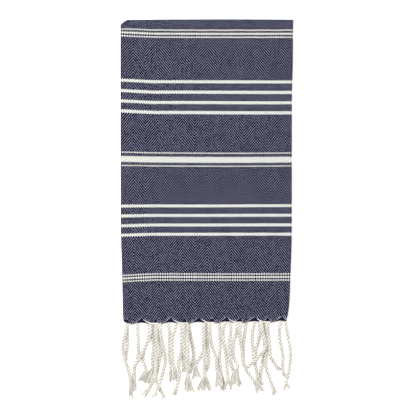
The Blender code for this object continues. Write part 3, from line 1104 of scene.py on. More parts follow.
CORDS = (
    CordPlan(1, CordEnd.BRUSH, 16, 10,
        ((-77, 0), (-78.5, 18.5), (-81.5, 27), (-85.5, 37), (-86.5, 46.5), (-84.5, 52.5), (-81.5, 58),
         (-82, 64), (-85.5, 70.5), (-88, 77))),
    CordPlan(1, CordEnd.BRUSH, 14, 8,
        ((-64.5, 0), (-63, 18.5), (-61.5, 33), (-62.5, 42.5), (-64.5, 53), (-67, 63), (-70.5, 73),
         (-75, 82), (-80, 89), (-86, 96))),
    CordPlan(1, CordEnd.CUT, 5, 5.5,
        ((-33.5, 0), (-33, 18.5), (-32, 35.5), (-32, 51.5), (-31, 64))),
    CordPlan(1, CordEnd.BRUSH, 17, 12,
        ((-5, 0), (-5, 18.5), (-4.5, 33), (-7, 43), (-12, 47), (-15.5, 52.5), (-15.5, 60), (-14.5, 66.5),
         (-14, 72.5))),
    CordPlan(1, CordEnd.CUT, 5, 5.5,
        ((72, 0), (76, 18.5), (77.5, 35.5), (75.5, 47.5), (73, 56), (72, 62.5), (71.5, 70.5), (70.5, 76))),
    CordPlan(1, CordEnd.BRUSH, 22, 7.5,
        ((77, 0), (80, 18.5), (80, 35.5), (78.5, 43.5), (78, 51.5), (79, 60), (82, 68.5), (85, 76.5),
         (87.5, 84.5), (91, 94.5))),
    CordPlan(2, CordEnd.CUT, 5, 5.5,
        ((-107, 0), (-107.5, 9), (-106.5, 15), (-106.5, 25), (-107, 34.5), (-109, 41.5), (-108.5, 49))),
    CordPlan(2, CordEnd.BRUSH, 23, 13,
        ((-73, 0), (-73, 13), (-72, 24.5), (-71.5, 34), (-73.5, 42), (-74.5, 49), (-72.5, 56),
         (-74, 63), (-78.5, 70.5), (-84, 77))),
    CordPlan(2, CordEnd.CUT, 5, 5.5,
        ((-25, 0), (-22, 15), (-19.5, 27.5), (-17.5, 37), (-17.5, 45.5), (-19.5, 52), (-21, 59),
         (-23.5, 65))),
    CordPlan(2, CordEnd.CUT, 5, 5.5,
        ((-1, 0), (-0.5, 14.5), (0.5, 27.5), (2, 39.5), (2.5, 49), (0.5, 58.5), (-2, 64))),
    CordPlan(2, CordEnd.BRUSH, 21, 8.5,
        ((16, 0), (17, 11), (17, 22.5), (17, 34.5), (16.5, 45), (17, 56), (19, 65), (20.5, 74.5),
         (22, 89))),
    CordPlan(2, CordEnd.CUT, 5, 5.5,
        ((52, 0), (51, 11), (49.5, 19.5), (48.5, 29), (48, 39), (48, 48.5), (49.5, 57))),
    CordPlan(3, CordEnd.BRUSH, 28, 8.5,
        ((-93, 0), (-92.5, 19), (-92, 35.5), (-92.5, 42.5), (-94.5, 49), (-97, 55), (-98, 62),
         (-98, 69), (-97.5, 76), (-99, 83), (-101, 90.5))),
    CordPlan(3, CordEnd.CUT, 5, 5.5,
        ((-75, 0), (-76, 14.5), (-79, 23), (-83.5, 31), (-87.5, 39.5), (-91.5, 48.5), (-96, 53.5),
         (-98.5, 58.5))),
    CordPlan(3, CordEnd.BRUSH, 17, 12,
        ((-52.5, 0), (-51, 6.5), (-50, 13), (-50.5, 24), (-50.5, 35.5), (-50, 47.5), (-48.5, 57),
         (-47, 66.5), (-45, 76))),
    CordPlan(3, CordEnd.BRUSH, 16, 12,
        ((-41.5, 0), (-43.5, 9), (-46.5, 16.5), (-47.5, 24), (-47, 35.5), (-46.5, 47.5), (-45, 57),
         (-43, 66.5), (-41, 74.5))),
    CordPlan(3, CordEnd.BRUSH, 21, 22,
        ((-4, 0), (-4.5, 18.5), (-4, 35.5), (-4, 50.5), (-3.5, 62.5), (-3.5, 73), (-3.5, 88)),
        knotted=True),
    CordPlan(3, CordEnd.FORK, 15, 9.5,
        ((25.5, 0), (21.5, 3.5), (20.5, 11), (21.5, 21), (23.5, 31.5), (25, 42.5), (26, 53),
         (26.5, 64), (27.5, 76), (28.5, 89)), knotted=True),
    CordPlan(3, CordEnd.CUT, 5, 5.5,
        ((28.5, 0), (31.5, 3.5), (31.5, 12.5), (30, 20.5), (29, 29), (28.5, 37), (30, 46.5), (33, 56),
         (34, 62.5))),
    CordPlan(3, CordEnd.CUT, 5, 5.5,
        ((63.5, 0), (61, 7), (60, 15.5), (60, 25.5), (61, 34.5), (62, 42.5), (61.5, 52.5))),
    CordPlan(3, CordEnd.BRUSH, 17, 10,
        ((69.5, 0), (70.5, 10.5), (69, 19), (67, 27.5), (64.5, 35.5), (63.5, 45), (64.5, 56),
         (66.5, 65), (68.5, 73), (72.5, 84))),
    CordPlan(3, CordEnd.BRUSH, 19, 6.5,
        ((98, 0), (96.5, 6.5), (96.5, 14.5), (97.5, 23.5), (99.5, 32.5), (101.5, 41), (101.5, 47.5),
         (100.5, 54.5), (101.5, 62.5), (103, 72))),
    CordPlan(3, CordEnd.FORK, 9, 9.5,
        ((104.5, 0), (106.5, 9), (108.5, 17.5), (110.5, 27.5), (112, 37.5), (111.5, 47.5), (110.5, 57),
         (109, 65), (107, 73), (104.6, 80), (107.5, 88)), knotted=True),
    CordPlan(4, CordEnd.BRUSH, 30, 6.5,
        ((-106.5, 0), (-109, 11), (-112, 22.5), (-113, 31.5), (-112, 41), (-109, 50.5), (-106, 60),
         (-103.5, 70.5), (-102.5, 81), (-103, 100))),
    CordPlan(4, CordEnd.FORK, 11, 5,
        ((-68, 0), (-67.5, 11.5), (-67, 22.5), (-68, 31), (-68.5, 39.5), (-68, 49), (-68.5, 58.5),
         (-70, 66.5), (-68, 75), (-65, 83), (-61, 91), (-57, 99))),
    CordPlan(4, CordEnd.BRUSH, 16, 6,
        ((-64, 0), (-62, 13), (-60, 24), (-57.5, 34.5), (-56.5, 43.5), (-56, 53), (-58.5, 61),
         (-60.5, 70), (-62.5, 76.5), (-66.5, 85), (-71, 98.5))),
    CordPlan(4, CordEnd.BRUSH, 13, 6.5,
        ((-35.5, 0), (-34, 11.5), (-34, 27.5), (-35, 39.5), (-38.5, 49), (-39, 57), (-36.5, 65),
         (-37.5, 73), (-40.5, 82.5), (-44, 96))),
    CordPlan(4, CordEnd.BRUSH, 25, 14,
        ((-31.5, 0), (-31.5, 18.5), (-30.5, 34.5), (-28.5, 47.5), (-27, 58), (-26, 66.5), (-25, 77),
         (-24, 92)), knotted=True),
    CordPlan(4, CordEnd.CUT, 5, 5.5,
        ((-27, 0), (-25.5, 15), (-26, 27.5), (-26.5, 42.5), (-25.5, 53), (-23.5, 62.5))),
    CordPlan(4, CordEnd.BRUSH, 23, 12,
        ((3, 0), (3.5, 13), (5, 22.5), (7, 31.5), (10, 39), (12.5, 45.5), (12.5, 54.5), (13, 62.5),
         (15, 70.5), (16.5, 85))),
    CordPlan(4, CordEnd.BRUSH, 25, 15.5,
        ((40.5, 0), (39.5, 10.5), (37, 17.5), (34.5, 25), (34.5, 35.5), (35, 45.5), (38, 49.5),
         (41, 51.5), (40, 58.5), (38, 68), (39, 82.5)), knotted=True),
    CordPlan(4, CordEnd.BRUSH, 20, 14,
        ((43.5, 0), (43.5, 11.5), (44, 21), (45.5, 30.5), (46.5, 39.5), (47.5, 49), (50.5, 58.5),
         (55.5, 66.5), (62, 74), (67, 81), (71.5, 90.5))),
    CordPlan(4, CordEnd.CUT, 5, 5.5,
        ((72, 0), (74, 9.5), (76.5, 17), (78.5, 24.5), (78.5, 30.5), (75, 36.5), (69.5, 42.5),
         (63.5, 48.5), (58, 53), (53.5, 58.5))),
    CordPlan(4, CordEnd.BRUSH, 13, 6.5,
        ((80, 0), (81, 9), (82, 17), (83, 25), (84, 33), (84, 40.5), (86, 47), (90, 52.5), (94, 57),
         (97.5, 62))),
)


def travelled_along(points: np.ndarray) -> np.ndarray:
    """Distances along a line of points, from 0 at its first one."""
    steps = np.linalg.norm(np.diff(points, axis=0), axis=1)
    return np.concatenate(([0.0], np.cumsum(steps)))


class Run:
    """A smooth line in space that yarn is laid along."""

    def __init__(self, points: np.ndarray) -> None:
        """Measures a line.

        Args:
            points: the points that it runs through.
        """
        self.points = points
        self.travelled = travelled_along(points)
        ahead = np.gradient(points, axis=0)
        self.ahead = ahead / np.linalg.norm(ahead, axis=1, keepdims=True)
        side = np.stack((-self.ahead[:, 1], self.ahead[:, 0], np.zeros(len(points))), axis=1)
        self.side = side / np.linalg.norm(side, axis=1, keepdims=True)
        self.up = np.cross(self.ahead, self.side)

    @property
    def length(self) -> float:
        """Length of the line."""
        return float(self.travelled[-1])

    def read(self, rows: np.ndarray, distance: np.ndarray) -> np.ndarray:
        """Interpolates one value a point at some distances along the line."""
        return np.stack([np.interp(distance, self.travelled, rows[:, axis]) for axis in range(3)], axis=1)

    def place(self, straight: np.ndarray) -> np.ndarray:
        """Bends straight yarn on to the line.

        Args:
            straight: points whose x is sideways, y upwards and z along, in metres.

        Returns:
            Their places in space.
        """
        along = np.clip(straight[:, 2], 0.0, self.length)
        over = (straight[:, 2] - along)[:, None]
        centre = self.read(self.points, along) + over * self.read(self.ahead, along)
        sideways = self.read(self.side, along) * straight[:, :1]
        return centre + sideways + self.read(self.up, along) * straight[:, 1:2]


class Skein:
    """Gathers many small bodies of yarn into one mesh.

    APART is how far from each other two bodies are read in the cotton's noise, in metres.
    """

    APART = 0.37

    def __init__(self, name: str) -> None:
        """Starts an empty skein.

        Args:
            name: its mesh's name.
        """
        self.name = name
        self.whole = bmesh.new()
        self.whole.verts.layers.float_vector.new("yarn")
        self.whole.verts.layers.float.new("proud")
        self.count = 0

    def lay(self, bm: bmesh.types.BMesh, run: Run, proud: Callable[[Vector], float],
            shape: Callable[[np.ndarray], np.ndarray] | None = None) -> None:
        """Bends a straight body of yarn along a line and takes it in.

        Args:
            bm: the body, which is used up.
            run: the line.
            proud: gives how far a straight point stands out of the grooves, 0 to 1, which sets its painted
                shade.
            shape: narrows or flattens straight points, or None.
        """
        yarn = bm.verts.layers.float_vector.new("yarn")
        stand = bm.verts.layers.float.new("proud")
        self.count += 1
        shift = Vector((0.0, 0.0, self.APART * self.count))
        for vert in bm.verts:
            vert[yarn] = (vert.co + shift) / MM
            vert[stand] = proud(vert.co)
        straight = np.array([vert.co for vert in bm.verts])
        if shape is not None:
            straight = shape(straight)
        places = run.place(straight)
        places[:, 2] = np.maximum(places[:, 2], 0.0)
        for vert, place in zip(bm.verts, places):
            vert.co = place
        scratch = bpy.data.meshes.new("scratch")
        bm.to_mesh(scratch)
        bm.free()
        self.whole.from_mesh(scratch)
        bpy.data.meshes.remove(scratch)

    def mesh(self) -> bpy.types.Mesh:
        """Finishes the skein.

        Returns:
            Its mesh.
        """
        mesh = bpy.data.meshes.new(self.name)
        self.whole.to_mesh(mesh)
        self.whole.free()
        return mesh


def evened(values: np.ndarray, reach: int) -> np.ndarray:
    """Evens out a row of numbers over their neighbours.

    Args:
        values: the numbers.
        reach: how many neighbours on each side count.

    Returns:
        The evened numbers, with the first and the last as they were.
    """
    window = 2 * reach + 1
    padded = np.pad(values, reach, mode="reflect", reflect_type="odd")
    return np.convolve(padded, np.full(window, 1 / window), mode="valid")


def closed(bm: bmesh.types.BMesh) -> bmesh.types.BMesh:
    """Caps the open ends of a tube and turns its faces outwards.

    Args:
        bm: the tube.

    Returns:
        The same tube, closed.
    """
    bmesh.ops.holes_fill(bm, edges=[edge for edge in bm.edges if edge.is_boundary], sides=0)
    bmesh.ops.recalc_face_normals(bm, faces=bm.faces[:])
    return bm


@dataclass(frozen=True)
class Rope:
    """Three plies laid up into a cord.

    groove and crest are shares of the cord's radius: the yarn is in the groove, with full
    painted shade, up to the one and on the crest, with none, from the other.
    """

    plies: int = 3
    turn: float = 0.0136
    ply_centre: float = 0.00137
    ply_radius: float = 0.00132
    ply_sideways: float = 0.00150
    sides: int = 7
    steps_a_turn: int = 14
    groove: float = 0.46
    crest: float = 0.93

    @property
    def radius(self) -> float:
        """Radius of the cord over its crests."""
        return self.ply_centre + self.ply_radius

    def ply(self, length: float, turn: float, start: float) -> bmesh.types.BMesh:
        """Lays up one ply, straight along +Z.

        Args:
            length: the cord's length.
            turn: length of one full turn.
            start: the angle at which the ply starts.

        Returns:
            The ply as one closed body.
        """
        bm = bmesh.new()
        bmesh.ops.create_circle(bm, cap_ends=False, segments=self.sides, radius=1.0)
        bmesh.ops.scale(bm, vec=(self.ply_radius, self.ply_sideways, 1.0), verts=bm.verts[:])
        bmesh.ops.translate(bm, vec=(self.ply_centre, 0.0, 0.0), verts=bm.verts[:])
        bmesh.ops.rotate(bm, matrix=Matrix.Rotation(start, 3, "Z"), verts=bm.verts[:])
        steps = max(2, round(self.steps_a_turn * length / turn))
        bmesh.ops.spin(bm, geom=bm.verts[:] + bm.edges[:], axis=UP, cent=(0.0, 0.0, 0.0),
                       dvec=(0.0, 0.0, length / steps), angle=2 * math.pi * length / turn,
                       steps=steps, use_merge=False, use_duplicate=False)
        return closed(bm)

    def proud(self, place: Vector) -> float:
        """How far a point of a ply stands out of the grooves, 0 to 1, which sets its painted shade."""
        share = (place.xy.length / self.radius - self.groove) / (self.crest - self.groove)
        return min(1.0, max(0.0, share))


@dataclass(frozen=True)
class Strand:
    """A single loose yarn.

    full_by is the share of its length at which it has come to its tip's radius.
    """

    sides: int = 4
    steps: int = 7
    full_by: float = 1.0

    def tube(self, length: float, radius: float, tip: float) -> bmesh.types.BMesh:
        """Makes a straight tapered yarn along +Z.

        Args:
            length: its length.
            radius: its radius at its root.
            tip: its radius at its tip.

        Returns:
            The yarn as one closed body.
        """
        bm = bmesh.new()
        bmesh.ops.create_circle(bm, cap_ends=False, segments=self.sides, radius=radius)
        bmesh.ops.spin(bm, geom=bm.verts[:] + bm.edges[:], axis=UP, cent=(0.0, 0.0, 0.0),
                       dvec=(0.0, 0.0, length / self.steps), angle=0.0, steps=self.steps,
                       use_merge=False, use_duplicate=False)
        for vert in bm.verts:
            narrowed = 1 + (tip / radius - 1) * min(1.0, vert.co.z / (length * self.full_by))
            vert.co.x *= narrowed
            vert.co.y *= narrowed
        return closed(bm)


@dataclass(frozen=True)
class Lock:
    """A few frayed yarns that cling together: where they end, and how they curl."""

    tip: float
    length: float
    curl: float
    turns: float


@dataclass(frozen=True)
class Knot:
    """The overhand knot above a frayed tail, seen as two crossing loops."""

    major: float = 0.00185
    minor: float = 0.00115
    tilt: float = math.radians(24)
    spread: float = 0.0014
    sides: int = 8
    steps: int = 16
    weld: float = 1e-6
    proud: float = 0.9

    def loop(self, place: float, tilt: float) -> bmesh.types.BMesh:
        """Makes one loop of the knot.

        Args:
            place: its distance along the cord.
            tilt: how far it leans.

        Returns:
            The loop as one closed ring.
        """
        bm = bmesh.new()
        bmesh.ops.create_circle(bm, cap_ends=False, segments=self.sides, radius=self.minor)
        bmesh.ops.rotate(bm, matrix=Matrix.Rotation(math.pi / 2, 3, "X"), verts=bm.verts[:])
        bmesh.ops.translate(bm, vec=(self.major, 0.0, 0.0), verts=bm.verts[:])
        bmesh.ops.spin(bm, geom=bm.verts[:] + bm.edges[:], axis=UP, cent=(0.0, 0.0, 0.0),
                       dvec=(0.0, 0.0, 0.0), angle=2 * math.pi, steps=self.steps,
                       use_merge=True, use_duplicate=False)
        bmesh.ops.remove_doubles(bm, verts=bm.verts[:], dist=self.weld)
        bmesh.ops.recalc_face_normals(bm, faces=bm.faces[:])
        bmesh.ops.rotate(bm, matrix=Matrix.Rotation(tilt, 3, "Y"), verts=bm.verts[:])
        bmesh.ops.translate(bm, vec=(0.0, 0.0, place), verts=bm.verts[:])
        return bm


@dataclass
class LaidCord:
    """A cord where it lies."""

    plan: CordPlan
    run: Run


@dataclass
class Laying:
    """Lays the cords one over another, from the floor up.

    root_line is the height on the towel that the routes count down from. Over the length
    gather a cord goes from root_width and the cloth's thickness to its full size, cord. It
    lies level for root_flat, then falls and climbs by slope at most, and it sinks by sink
    into the cord under it. survey is the step in which it is followed. Its heights are
    rounded off over rounding, and its way over bend_reach steps. lying holds the points of
    the cords that lie there already: their places, widths and upper sides.
    """

    fold: Fold
    scallops: Scallops
    root_line: float = -0.1541
    cord: float = 0.0046
    sink: float = 0.0007
    root_width: float = 0.0036
    root_flat: float = 0.0030
    gather: float = 0.0120
    slope: float = 0.38
    knot: float = 0.0060
    tail_thickness: float = 0.0026
    survey: float = 0.0010
    rounding: float = 0.0030
    bend_reach: int = 4
    lying: list[np.ndarray] = field(default_factory=list)

    def route(self, plan: CordPlan, start: Vector) -> np.ndarray:
        """Finds a cord's way, as seen from above.

        Args:
            plan: the cord.
            start: its root.

        Returns:
            Points about one survey step apart, with the way's corners rounded off.
        """
        way = np.array([(x * MM, self.root_line - down * MM) for x, down in plan.way])
        way[0] = start.xy
        travelled = travelled_along(way)
        stations = np.linspace(0.0, travelled[-1], math.ceil(travelled[-1] / self.survey) + 1)
        line = [np.interp(stations, travelled, way[:, axis]) for axis in range(2)]
        return np.column_stack([evened(evened(row, self.bend_reach), self.bend_reach) for row in line])

    def size(self, plan: CordPlan, travelled: np.ndarray) -> tuple[np.ndarray, np.ndarray]:
        """Finds a cord's thickness where it lies.

        Args:
            plan: the cord.
            travelled: distances from its root.

        Returns:
            Its widths and its thicknesses there.
        """
        gathered = np.minimum(1.0, travelled / self.gather)
        width = self.root_width + (self.cord - self.root_width) * gathered
        thick = self.fold.layer + (self.cord - self.fold.layer) * gathered
        remaining = travelled[-1] - travelled
        fray = plan.fray * MM
        if plan.end is not CordEnd.CUT:
            share = np.clip(1 - remaining / fray, 0.0, 1.0)
            width = width + (plan.spread * MM - self.cord) * share
            thick = thick + (self.tail_thickness - self.cord) * share
        if plan.knotted:
            above = np.sin(math.pi * np.clip((remaining - fray) / self.knot, 0.0, 1.0))
            width = width + (self.knot - self.cord) * above
            thick = thick + (self.knot - self.cord) * above
        return width, thick

    def heights(self, points: np.ndarray, travelled: np.ndarray, width: np.ndarray,
                root: float) -> np.ndarray:
        """Finds how high the underside of a cord lies.

        Args:
            points: its way, as seen from above.
            travelled: distances from its root.
            width: its widths.
            root: height of its underside at its root.

        Returns:
            Its heights: level off its root, then on the floor or over what lies there.
        """
        floor = np.maximum(root - self.slope * np.maximum(0.0, travelled - self.root_flat), 0.0)
        if self.lying:
            others = np.concatenate(self.lying)
            apart = np.linalg.norm(points[:, None, :] - others[None, :, :2], axis=2)
            meets = apart < (width[:, None] + others[None, :, 2]) / 2
            over = np.where(meets, others[None, :, 3] - self.sink, 0.0).max(axis=1)
            floor = np.maximum(floor, over)
        return (floor[None, :] - self.slope * np.abs(travelled[:, None] - travelled[None, :])).max(axis=1)

    def rounded(self, low: np.ndarray) -> np.ndarray:
        """Rounds off a cord's heights without dipping into what lies below it.

        Args:
            low: the heights of its underside.

        Returns:
            The heights, rounded off and nowhere lower.
        """
        reach = round(self.rounding / self.survey)
        window = 2 * reach + 1
        padded = np.pad(low, reach, mode="edge")
        raised = np.array([padded[index:index + window].max() for index in range(len(low))])
        padded = np.pad(raised, reach, mode="edge")
        return np.convolve(padded, np.full(window, 1 / window), mode="valid")

    def lay(self, plan: CordPlan) -> LaidCord:
        """Lays one cord over those that lie there already.

        Args:
            plan: the cord.

        Returns:
            The cord where it lies.
        """
        ply = self.scallops.plies[plan.ply - 1]
        across = self.fold.across_for(plan.way[0][0] * MM, ply.end) * ply.across
        height = self.scallops.hem_height(ply, across)
        root = self.fold.place(across, self.fold.along_for(height) * ply.along)
        points = self.route(plan, root)
        travelled = travelled_along(points)
        width, thick = self.size(plan, travelled)
        low = self.rounded(self.heights(points, travelled, width, root.z - self.fold.layer / 2))
        self.lying.append(np.column_stack((points, width, low + thick)))
        return LaidCord(plan, Run(np.column_stack((points, low + thick / 2))))


@dataclass(frozen=True)
class Hem:
    """The warp ends that are drawn along the scallops of the upper half's end.

    From each nick a bundle of yarns grows along the scallop to just past its middle, and
    a single yarn comes back from the next nick to meet it. The layer behind has a single
    yarn all along. margins are what is left free at the lengthwise fold and the selvage.
    A yarn's lift is its height above mid cloth, the bundle's least and most in millimetres,
    and proud is how far it stands out of the grooves, which sets its painted shade; the yarn
    of the layer behind takes nearly the full painted shade. bundle_above is how many spacings
    over the line the bundle's first yarn runs. fall shapes how early a yarn leaves the line.
    """

    fold: Fold
    scallops: Scallops
    strand: Strand = Strand(sides=6, steps=14, full_by=0.5)
    points: int = 24
    fall: float = 0.7
    margins: tuple[float, float] = (0.0032, 0.0006)
    bundle_yarns: int = 4
    bundle_spacing: float = 0.00072
    bundle_above: float = 0.4
    bundle_radius: tuple[float, float] = (0.00022, 0.00052)
    bundle_start: float = 0.0040
    bundle_past: float = 0.0034
    bundle_lift: tuple[float, float] = (0.8, 1.0)
    bundle_proud: float = 1.0
    single_radius: float = 0.00018
    single_short: float = 0.0010
    single_lift: float = 0.0006
    single_proud: float = 0.8
    behind_lift: float = 0.0002
    # painted shade: the layer behind's yarn, down in the nicks, takes nearly the groove colour
    behind_proud: float = 0.1

    def run(self, ply: Ply, start: float, end: float, lower: float, lift: float) -> Run:
        """Follows the scalloped hem between two places across.

        Args:
            ply: the layer.
            start: distance across from the fold at which the line starts.
            end: distance at which it ends.
            lower: how far below the cloth's end the line ends up.
            lift: how far above mid cloth it lies.

        Returns:
            The line.
        """
        points = []
        for share in np.linspace(0, 1, self.points):
            across = start + share * (end - start)
            height = self.scallops.hem_height(ply, across) - lower * share ** self.fall
            points.append(self.fold.place(across * ply.across, self.fold.along_for(height) * ply.along))
        return Run(np.array(points) + np.array((0.0, 0.0, lift)))

    def add_single(self, skein: Skein, run: Run, proud: float) -> None:
        """Adds a single yarn.

        Args:
            skein: the fringe's yarn.
            run: the line that it follows.
            proud: how far it stands out of the grooves.
        """
        tube = self.strand.tube(run.length, self.single_radius, self.single_radius)
        skein.lay(tube, run, lambda place: proud)

    def add(self, skein: Skein, chance: random.Random) -> None:
        """Adds all of them.

        Args:
            skein: the fringe's yarn.
            chance: source of what differs from yarn to yarn.
        """
        behind, front = self.scallops.plies[-2:]
        low, high = self.margins[0], self.fold.cut_half_width - self.margins[1]
        thin, thick = self.bundle_radius
        nicks = self.scallops.nick_places[front.across]
        for nick, after in zip(nicks, nicks[1:]):
            middle = (nick + after) / 2
            start, end = max(nick + self.bundle_start, low), min(middle + self.bundle_past, high)
            grown = min(1.0, (end - start) / (self.bundle_past + (after - nick) / 2))
            tip = thin + (thick - thin) * grown
            for index in range(self.bundle_yarns):
                lower = self.bundle_spacing * (index - self.bundle_above) * grown
                run = self.run(front, start, end, lower, chance.uniform(*self.bundle_lift) * MM)
                skein.lay(self.strand.tube(run.length, thin, tip), run, lambda place: self.bundle_proud)
            if after < high:
                run = self.run(front, after, end - self.single_short, 0.0, self.single_lift)
                self.add_single(skein, run, self.single_proud)
        for start, end in zip(nicks, nicks[1:]):
            run = self.run(behind, max(start, low), min(end, high), 0.0, self.behind_lift)
            self.add_single(skein, run, self.behind_proud)


@dataclass
class Fringe:
    """One end's fringe: its cords, their frayed ends and, for the top layer's end, the gathered warp above
    them.

    lock_width, lock_curl, yarn_curl and yarns_a_mm count in millimetres of a tail's spread.
    Two numbers are the least and the most that chance gives. fork is how far from a tail's
    middle its two halves lie, in shares of its spread. The yarns leave the cord within
    root_share of its radius, and ease shapes their way from there to their tips.
    """

    name: str
    fold: Fold
    scallops: Scallops
    laying: Laying
    rope: Rope = Rope()
    strand: Strand = Strand()
    knot: Knot = Knot()
    seed: int = 11
    turn_spread: float = 0.08
    lock_width: float = 2.3
    lock_length: tuple[float, float] = (0.86, 1.10)
    lock_curl: float = 1.0
    lock_turns: tuple[float, float] = (0.7, 1.5)
    fork: float = 0.4
    yarns_a_mm: float = 3.4
    yarn_radius: float = 0.00066
    tip_radius: float = 0.00046
    yarn_length: tuple[float, float] = (0.86, 1.0)
    yarn_lift: float = 0.8
    yarn_curl: float = 0.35
    yarn_proud: tuple[float, float] = (0.56, 1.0)
    root_share: float = 0.75
    ease: float = 0.75
    sharp: float = math.radians(60)

    def flattened(self, laid: LaidCord) -> Callable[[np.ndarray], np.ndarray]:
        """Gives the function that flattens a straight cord towards its root.

        Args:
            laid: the cord; not used.

        Returns:
            A function that takes and gives straight points.
        """
        full = self.laying.cord

        def shape(straight: np.ndarray) -> np.ndarray:
            """Flattens straight points.

            Args:
                straight: the points.

            Returns:
                The flattened points.
            """
            gathered = np.clip(straight[:, 2] / self.laying.gather, 0.0, 1.0)
            thick = self.fold.layer + (full - self.fold.layer) * gathered
            flat = straight.copy()
            flat[:, 1] *= thick / full
            return flat
        return shape

    def add_cord(self, skein: Skein, laid: LaidCord, chance: random.Random) -> None:
        """Adds one cord to the fringe.

        Args:
            skein: the fringe's yarn.
            laid: the cord.
            chance: source of what differs from cord to cord.
        """
        plan, run = laid.plan, laid.run
        length = run.length - plan.fray * MM
        turn = self.rope.turn * chance.uniform(1 - self.turn_spread, 1 + self.turn_spread)
        start = chance.uniform(0, math.pi)
        shape = self.flattened(laid)
        for angle in even(start, start + 2 * math.pi, self.rope.plies)[1:]:
            skein.lay(self.rope.ply(length + self.rope.radius, turn, angle), run, self.rope.proud, shape)
        if plan.knotted:
            place = length - self.laying.knot / 2
            for side in (-1, 1):
                loop = self.knot.loop(place + side * self.knot.spread, side * self.knot.tilt)
                skein.lay(loop, run, lambda point: self.knot.proud)
        self.add_tail(skein, laid, length, chance)

    def locks(self, plan: CordPlan, chance: random.Random) -> list[Lock]:
        """Parts a frayed end into locks.

        Args:
            plan: the cord.
            chance: source of what differs from lock to lock.

        Returns:
            The locks, from the tail's one side to its other.
        """
        count = max(2, round(plan.spread / self.lock_width))
        locks = []
        for index in range(count):
            tip = (2 * (index + HALF) / count - 1) * plan.spread / 2
            if plan.end is CordEnd.FORK:
                tip = math.copysign(self.fork, tip) * plan.spread
            length = plan.fray * chance.uniform(*self.lock_length)
            curl = chance.uniform(-self.lock_curl, self.lock_curl)
            turns = chance.uniform(*self.lock_turns)
            locks.append(Lock(tip * MM, length * MM, curl * MM, turns))
        return locks

    def add_tail(self, skein: Skein, laid: LaidCord, start: float, chance: random.Random) -> None:
        """Adds a cord's frayed end.

        Args:
            skein: the fringe's yarn.
            laid: the cord.
            start: distance along the cord at which it frays.
            chance: source of what differs from yarn to yarn.
        """
        plan = laid.plan
        locks = self.locks(plan, chance)
        yarns = max(2, round(plan.spread * self.yarns_a_mm / len(locks)))
        for lock in locks * yarns:
            length = lock.length * chance.uniform(*self.yarn_length)
            tip = lock.tip + chance.uniform(-HALF, HALF) * self.lock_width * MM
            lift = chance.uniform(-self.yarn_lift, self.yarn_lift) * self.laying.tail_thickness / 2
            angle = chance.uniform(0, 2 * math.pi)
            near = self.rope.radius * math.sqrt(chance.random()) * self.root_share
            root = (near * math.cos(angle), near * math.sin(angle))
            curl = lock.curl + chance.uniform(-self.yarn_curl, self.yarn_curl) * MM

            def shape(straight: np.ndarray) -> np.ndarray:
                """Leads the yarn from the cord out to its tip.

                Args:
                    straight: the straight yarn's points.

                Returns:
                    The points beside and beyond the cord.
                """
                share = straight[:, 2] / length
                ease = share ** self.ease
                moved = straight.copy()
                wave = curl * np.sin(math.pi * lock.turns * share)
                moved[:, 0] += root[0] + (tip - root[0]) * ease + wave
                moved[:, 1] += root[1] + (lift - root[1]) * ease
                moved[:, 2] += start
                return moved

            tube = self.strand.tube(length, self.yarn_radius, self.tip_radius)
            stand = chance.uniform(*self.yarn_proud)
            skein.lay(tube, laid.run, lambda point: stand, shape)

    def build(self, cotton: bpy.types.NodeTree) -> bpy.types.Object:
        """Builds and dresses the fringe.

        Args:
            cotton: the yarn's node group.

        Returns:
            The fringe, riding on the towel.
        """
        chance = random.Random(self.seed)
        skein = Skein(self.name)
        for number, ply in enumerate(self.scallops.plies, start=1):
            if ply.fringe != self.name:
                continue
            for plan in CORDS:
                if plan.ply == number:
                    self.add_cord(skein, self.laying.lay(plan), chance)
        if self.name == self.scallops.plies[-1].fringe:
            Hem(self.fold, self.scallops).add(skein, chance)
        piece = add_piece(f"{self.name}_yarn", skein.mesh(), CordFinish(cotton).material(), self.sharp)
        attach(piece, "root")
        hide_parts(self.name)
        return piece


# ---- the studio ----

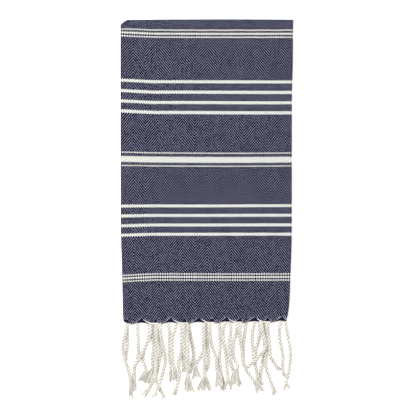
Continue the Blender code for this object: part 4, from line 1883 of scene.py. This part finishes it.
@dataclass
class Studio:
    """A plain white floor, soft light and a camera straight above."""

    floor_size: float = 3.0
    floor_drop: float = 0.0002
    floor_colour: Colour = (0.95, 0.95, 0.95, 1.0)
    floor_glow: float = 0.45
    ambient: float = 0.80
    lamp_place: tuple[float, float, float] = (-0.9, 0.9, 2.0)
    lamp_size: float = 1.2
    lamp_power: float = 34.0
    lens: float = 200.0
    sensor: float = 36.0
    view_width: float = 0.5562
    view_depth: float = 20.0
    aim: tuple[float, float, float] = (0.0012, 0.0014, 0.005)

    def floor(self) -> None:
        """Lays the floor just under the towel."""
        bm = bmesh.new()
        bmesh.ops.create_grid(bm, x_segments=1, y_segments=1, size=self.floor_size / 2)
        bmesh.ops.translate(bm, vec=(0.0, 0.0, -self.floor_drop), verts=bm.verts[:])
        mesh = bpy.data.meshes.new("studio_floor")
        bm.to_mesh(mesh)
        bm.free()
        material, wiring = new_material("studio_floor")
        shader = wiring.tree.nodes["Principled BSDF"].inputs
        shader["Base Color"].default_value = self.floor_colour
        shader["Roughness"].default_value = 1.0
        shader["Specular IOR Level"].default_value = 0.0
        shader["Emission Color"].default_value = WHITE
        shader["Emission Strength"].default_value = self.floor_glow
        mesh.materials.append(material)
        floor = bpy.data.objects.new("studio_floor", mesh)
        bpy.context.scene.collection.objects.link(floor)

    def light(self) -> None:
        """Sets an even white surround and one large lamp, up and to the left."""
        world = bpy.data.worlds.new("studio")
        world.use_nodes = True
        background = world.node_tree.nodes["Background"]
        background.inputs["Color"].default_value = WHITE
        background.inputs["Strength"].default_value = self.ambient
        bpy.context.scene.world = world
        lamp = bpy.data.lights.new("studio_lamp", "AREA")
        lamp.size = self.lamp_size
        lamp.energy = self.lamp_power
        lamp_object = bpy.data.objects.new("studio_lamp", lamp)
        lamp_object.location = self.lamp_place
        lamp_object.rotation_euler = (-Vector(self.lamp_place)).to_track_quat("-Z", "Y").to_euler()
        bpy.context.scene.collection.objects.link(lamp_object)

    def camera(self) -> None:
        """Hangs the camera straight above, with a long lens."""
        data = bpy.data.cameras.new("camera")
        data.lens = self.lens
        data.sensor_width = self.sensor
        data.clip_end = self.view_depth
        camera = bpy.data.objects.new("camera", data)
        distance = self.view_width * self.lens / self.sensor
        camera.location = Vector(self.aim) + UP * distance
        bpy.context.scene.collection.objects.link(camera)
        bpy.context.scene.camera = camera

    def build(self) -> None:
        """Sets up the whole studio."""
        self.floor()
        self.light()
        self.camera()
        bpy.context.scene.view_settings.view_transform = "Standard"


def main() -> None:
    """Builds the studio and the towel."""
    logging.basicConfig(level=logging.INFO, format="%(name)s: %(message)s")
    Studio().build()
    cotton = Cotton().group()
    fold = Fold()
    scallops = Scallops(fold)
    towel = TowelCloth(fold, scallops)
    cloth = towel.build(cotton)
    laying = Laying(fold, scallops)
    fringes = [Fringe(name, fold, scallops, laying).build(cotton)
               for name in ("fringe_back", "fringe_front")]
    towel.flat


if __name__ == "__main__":
    main()
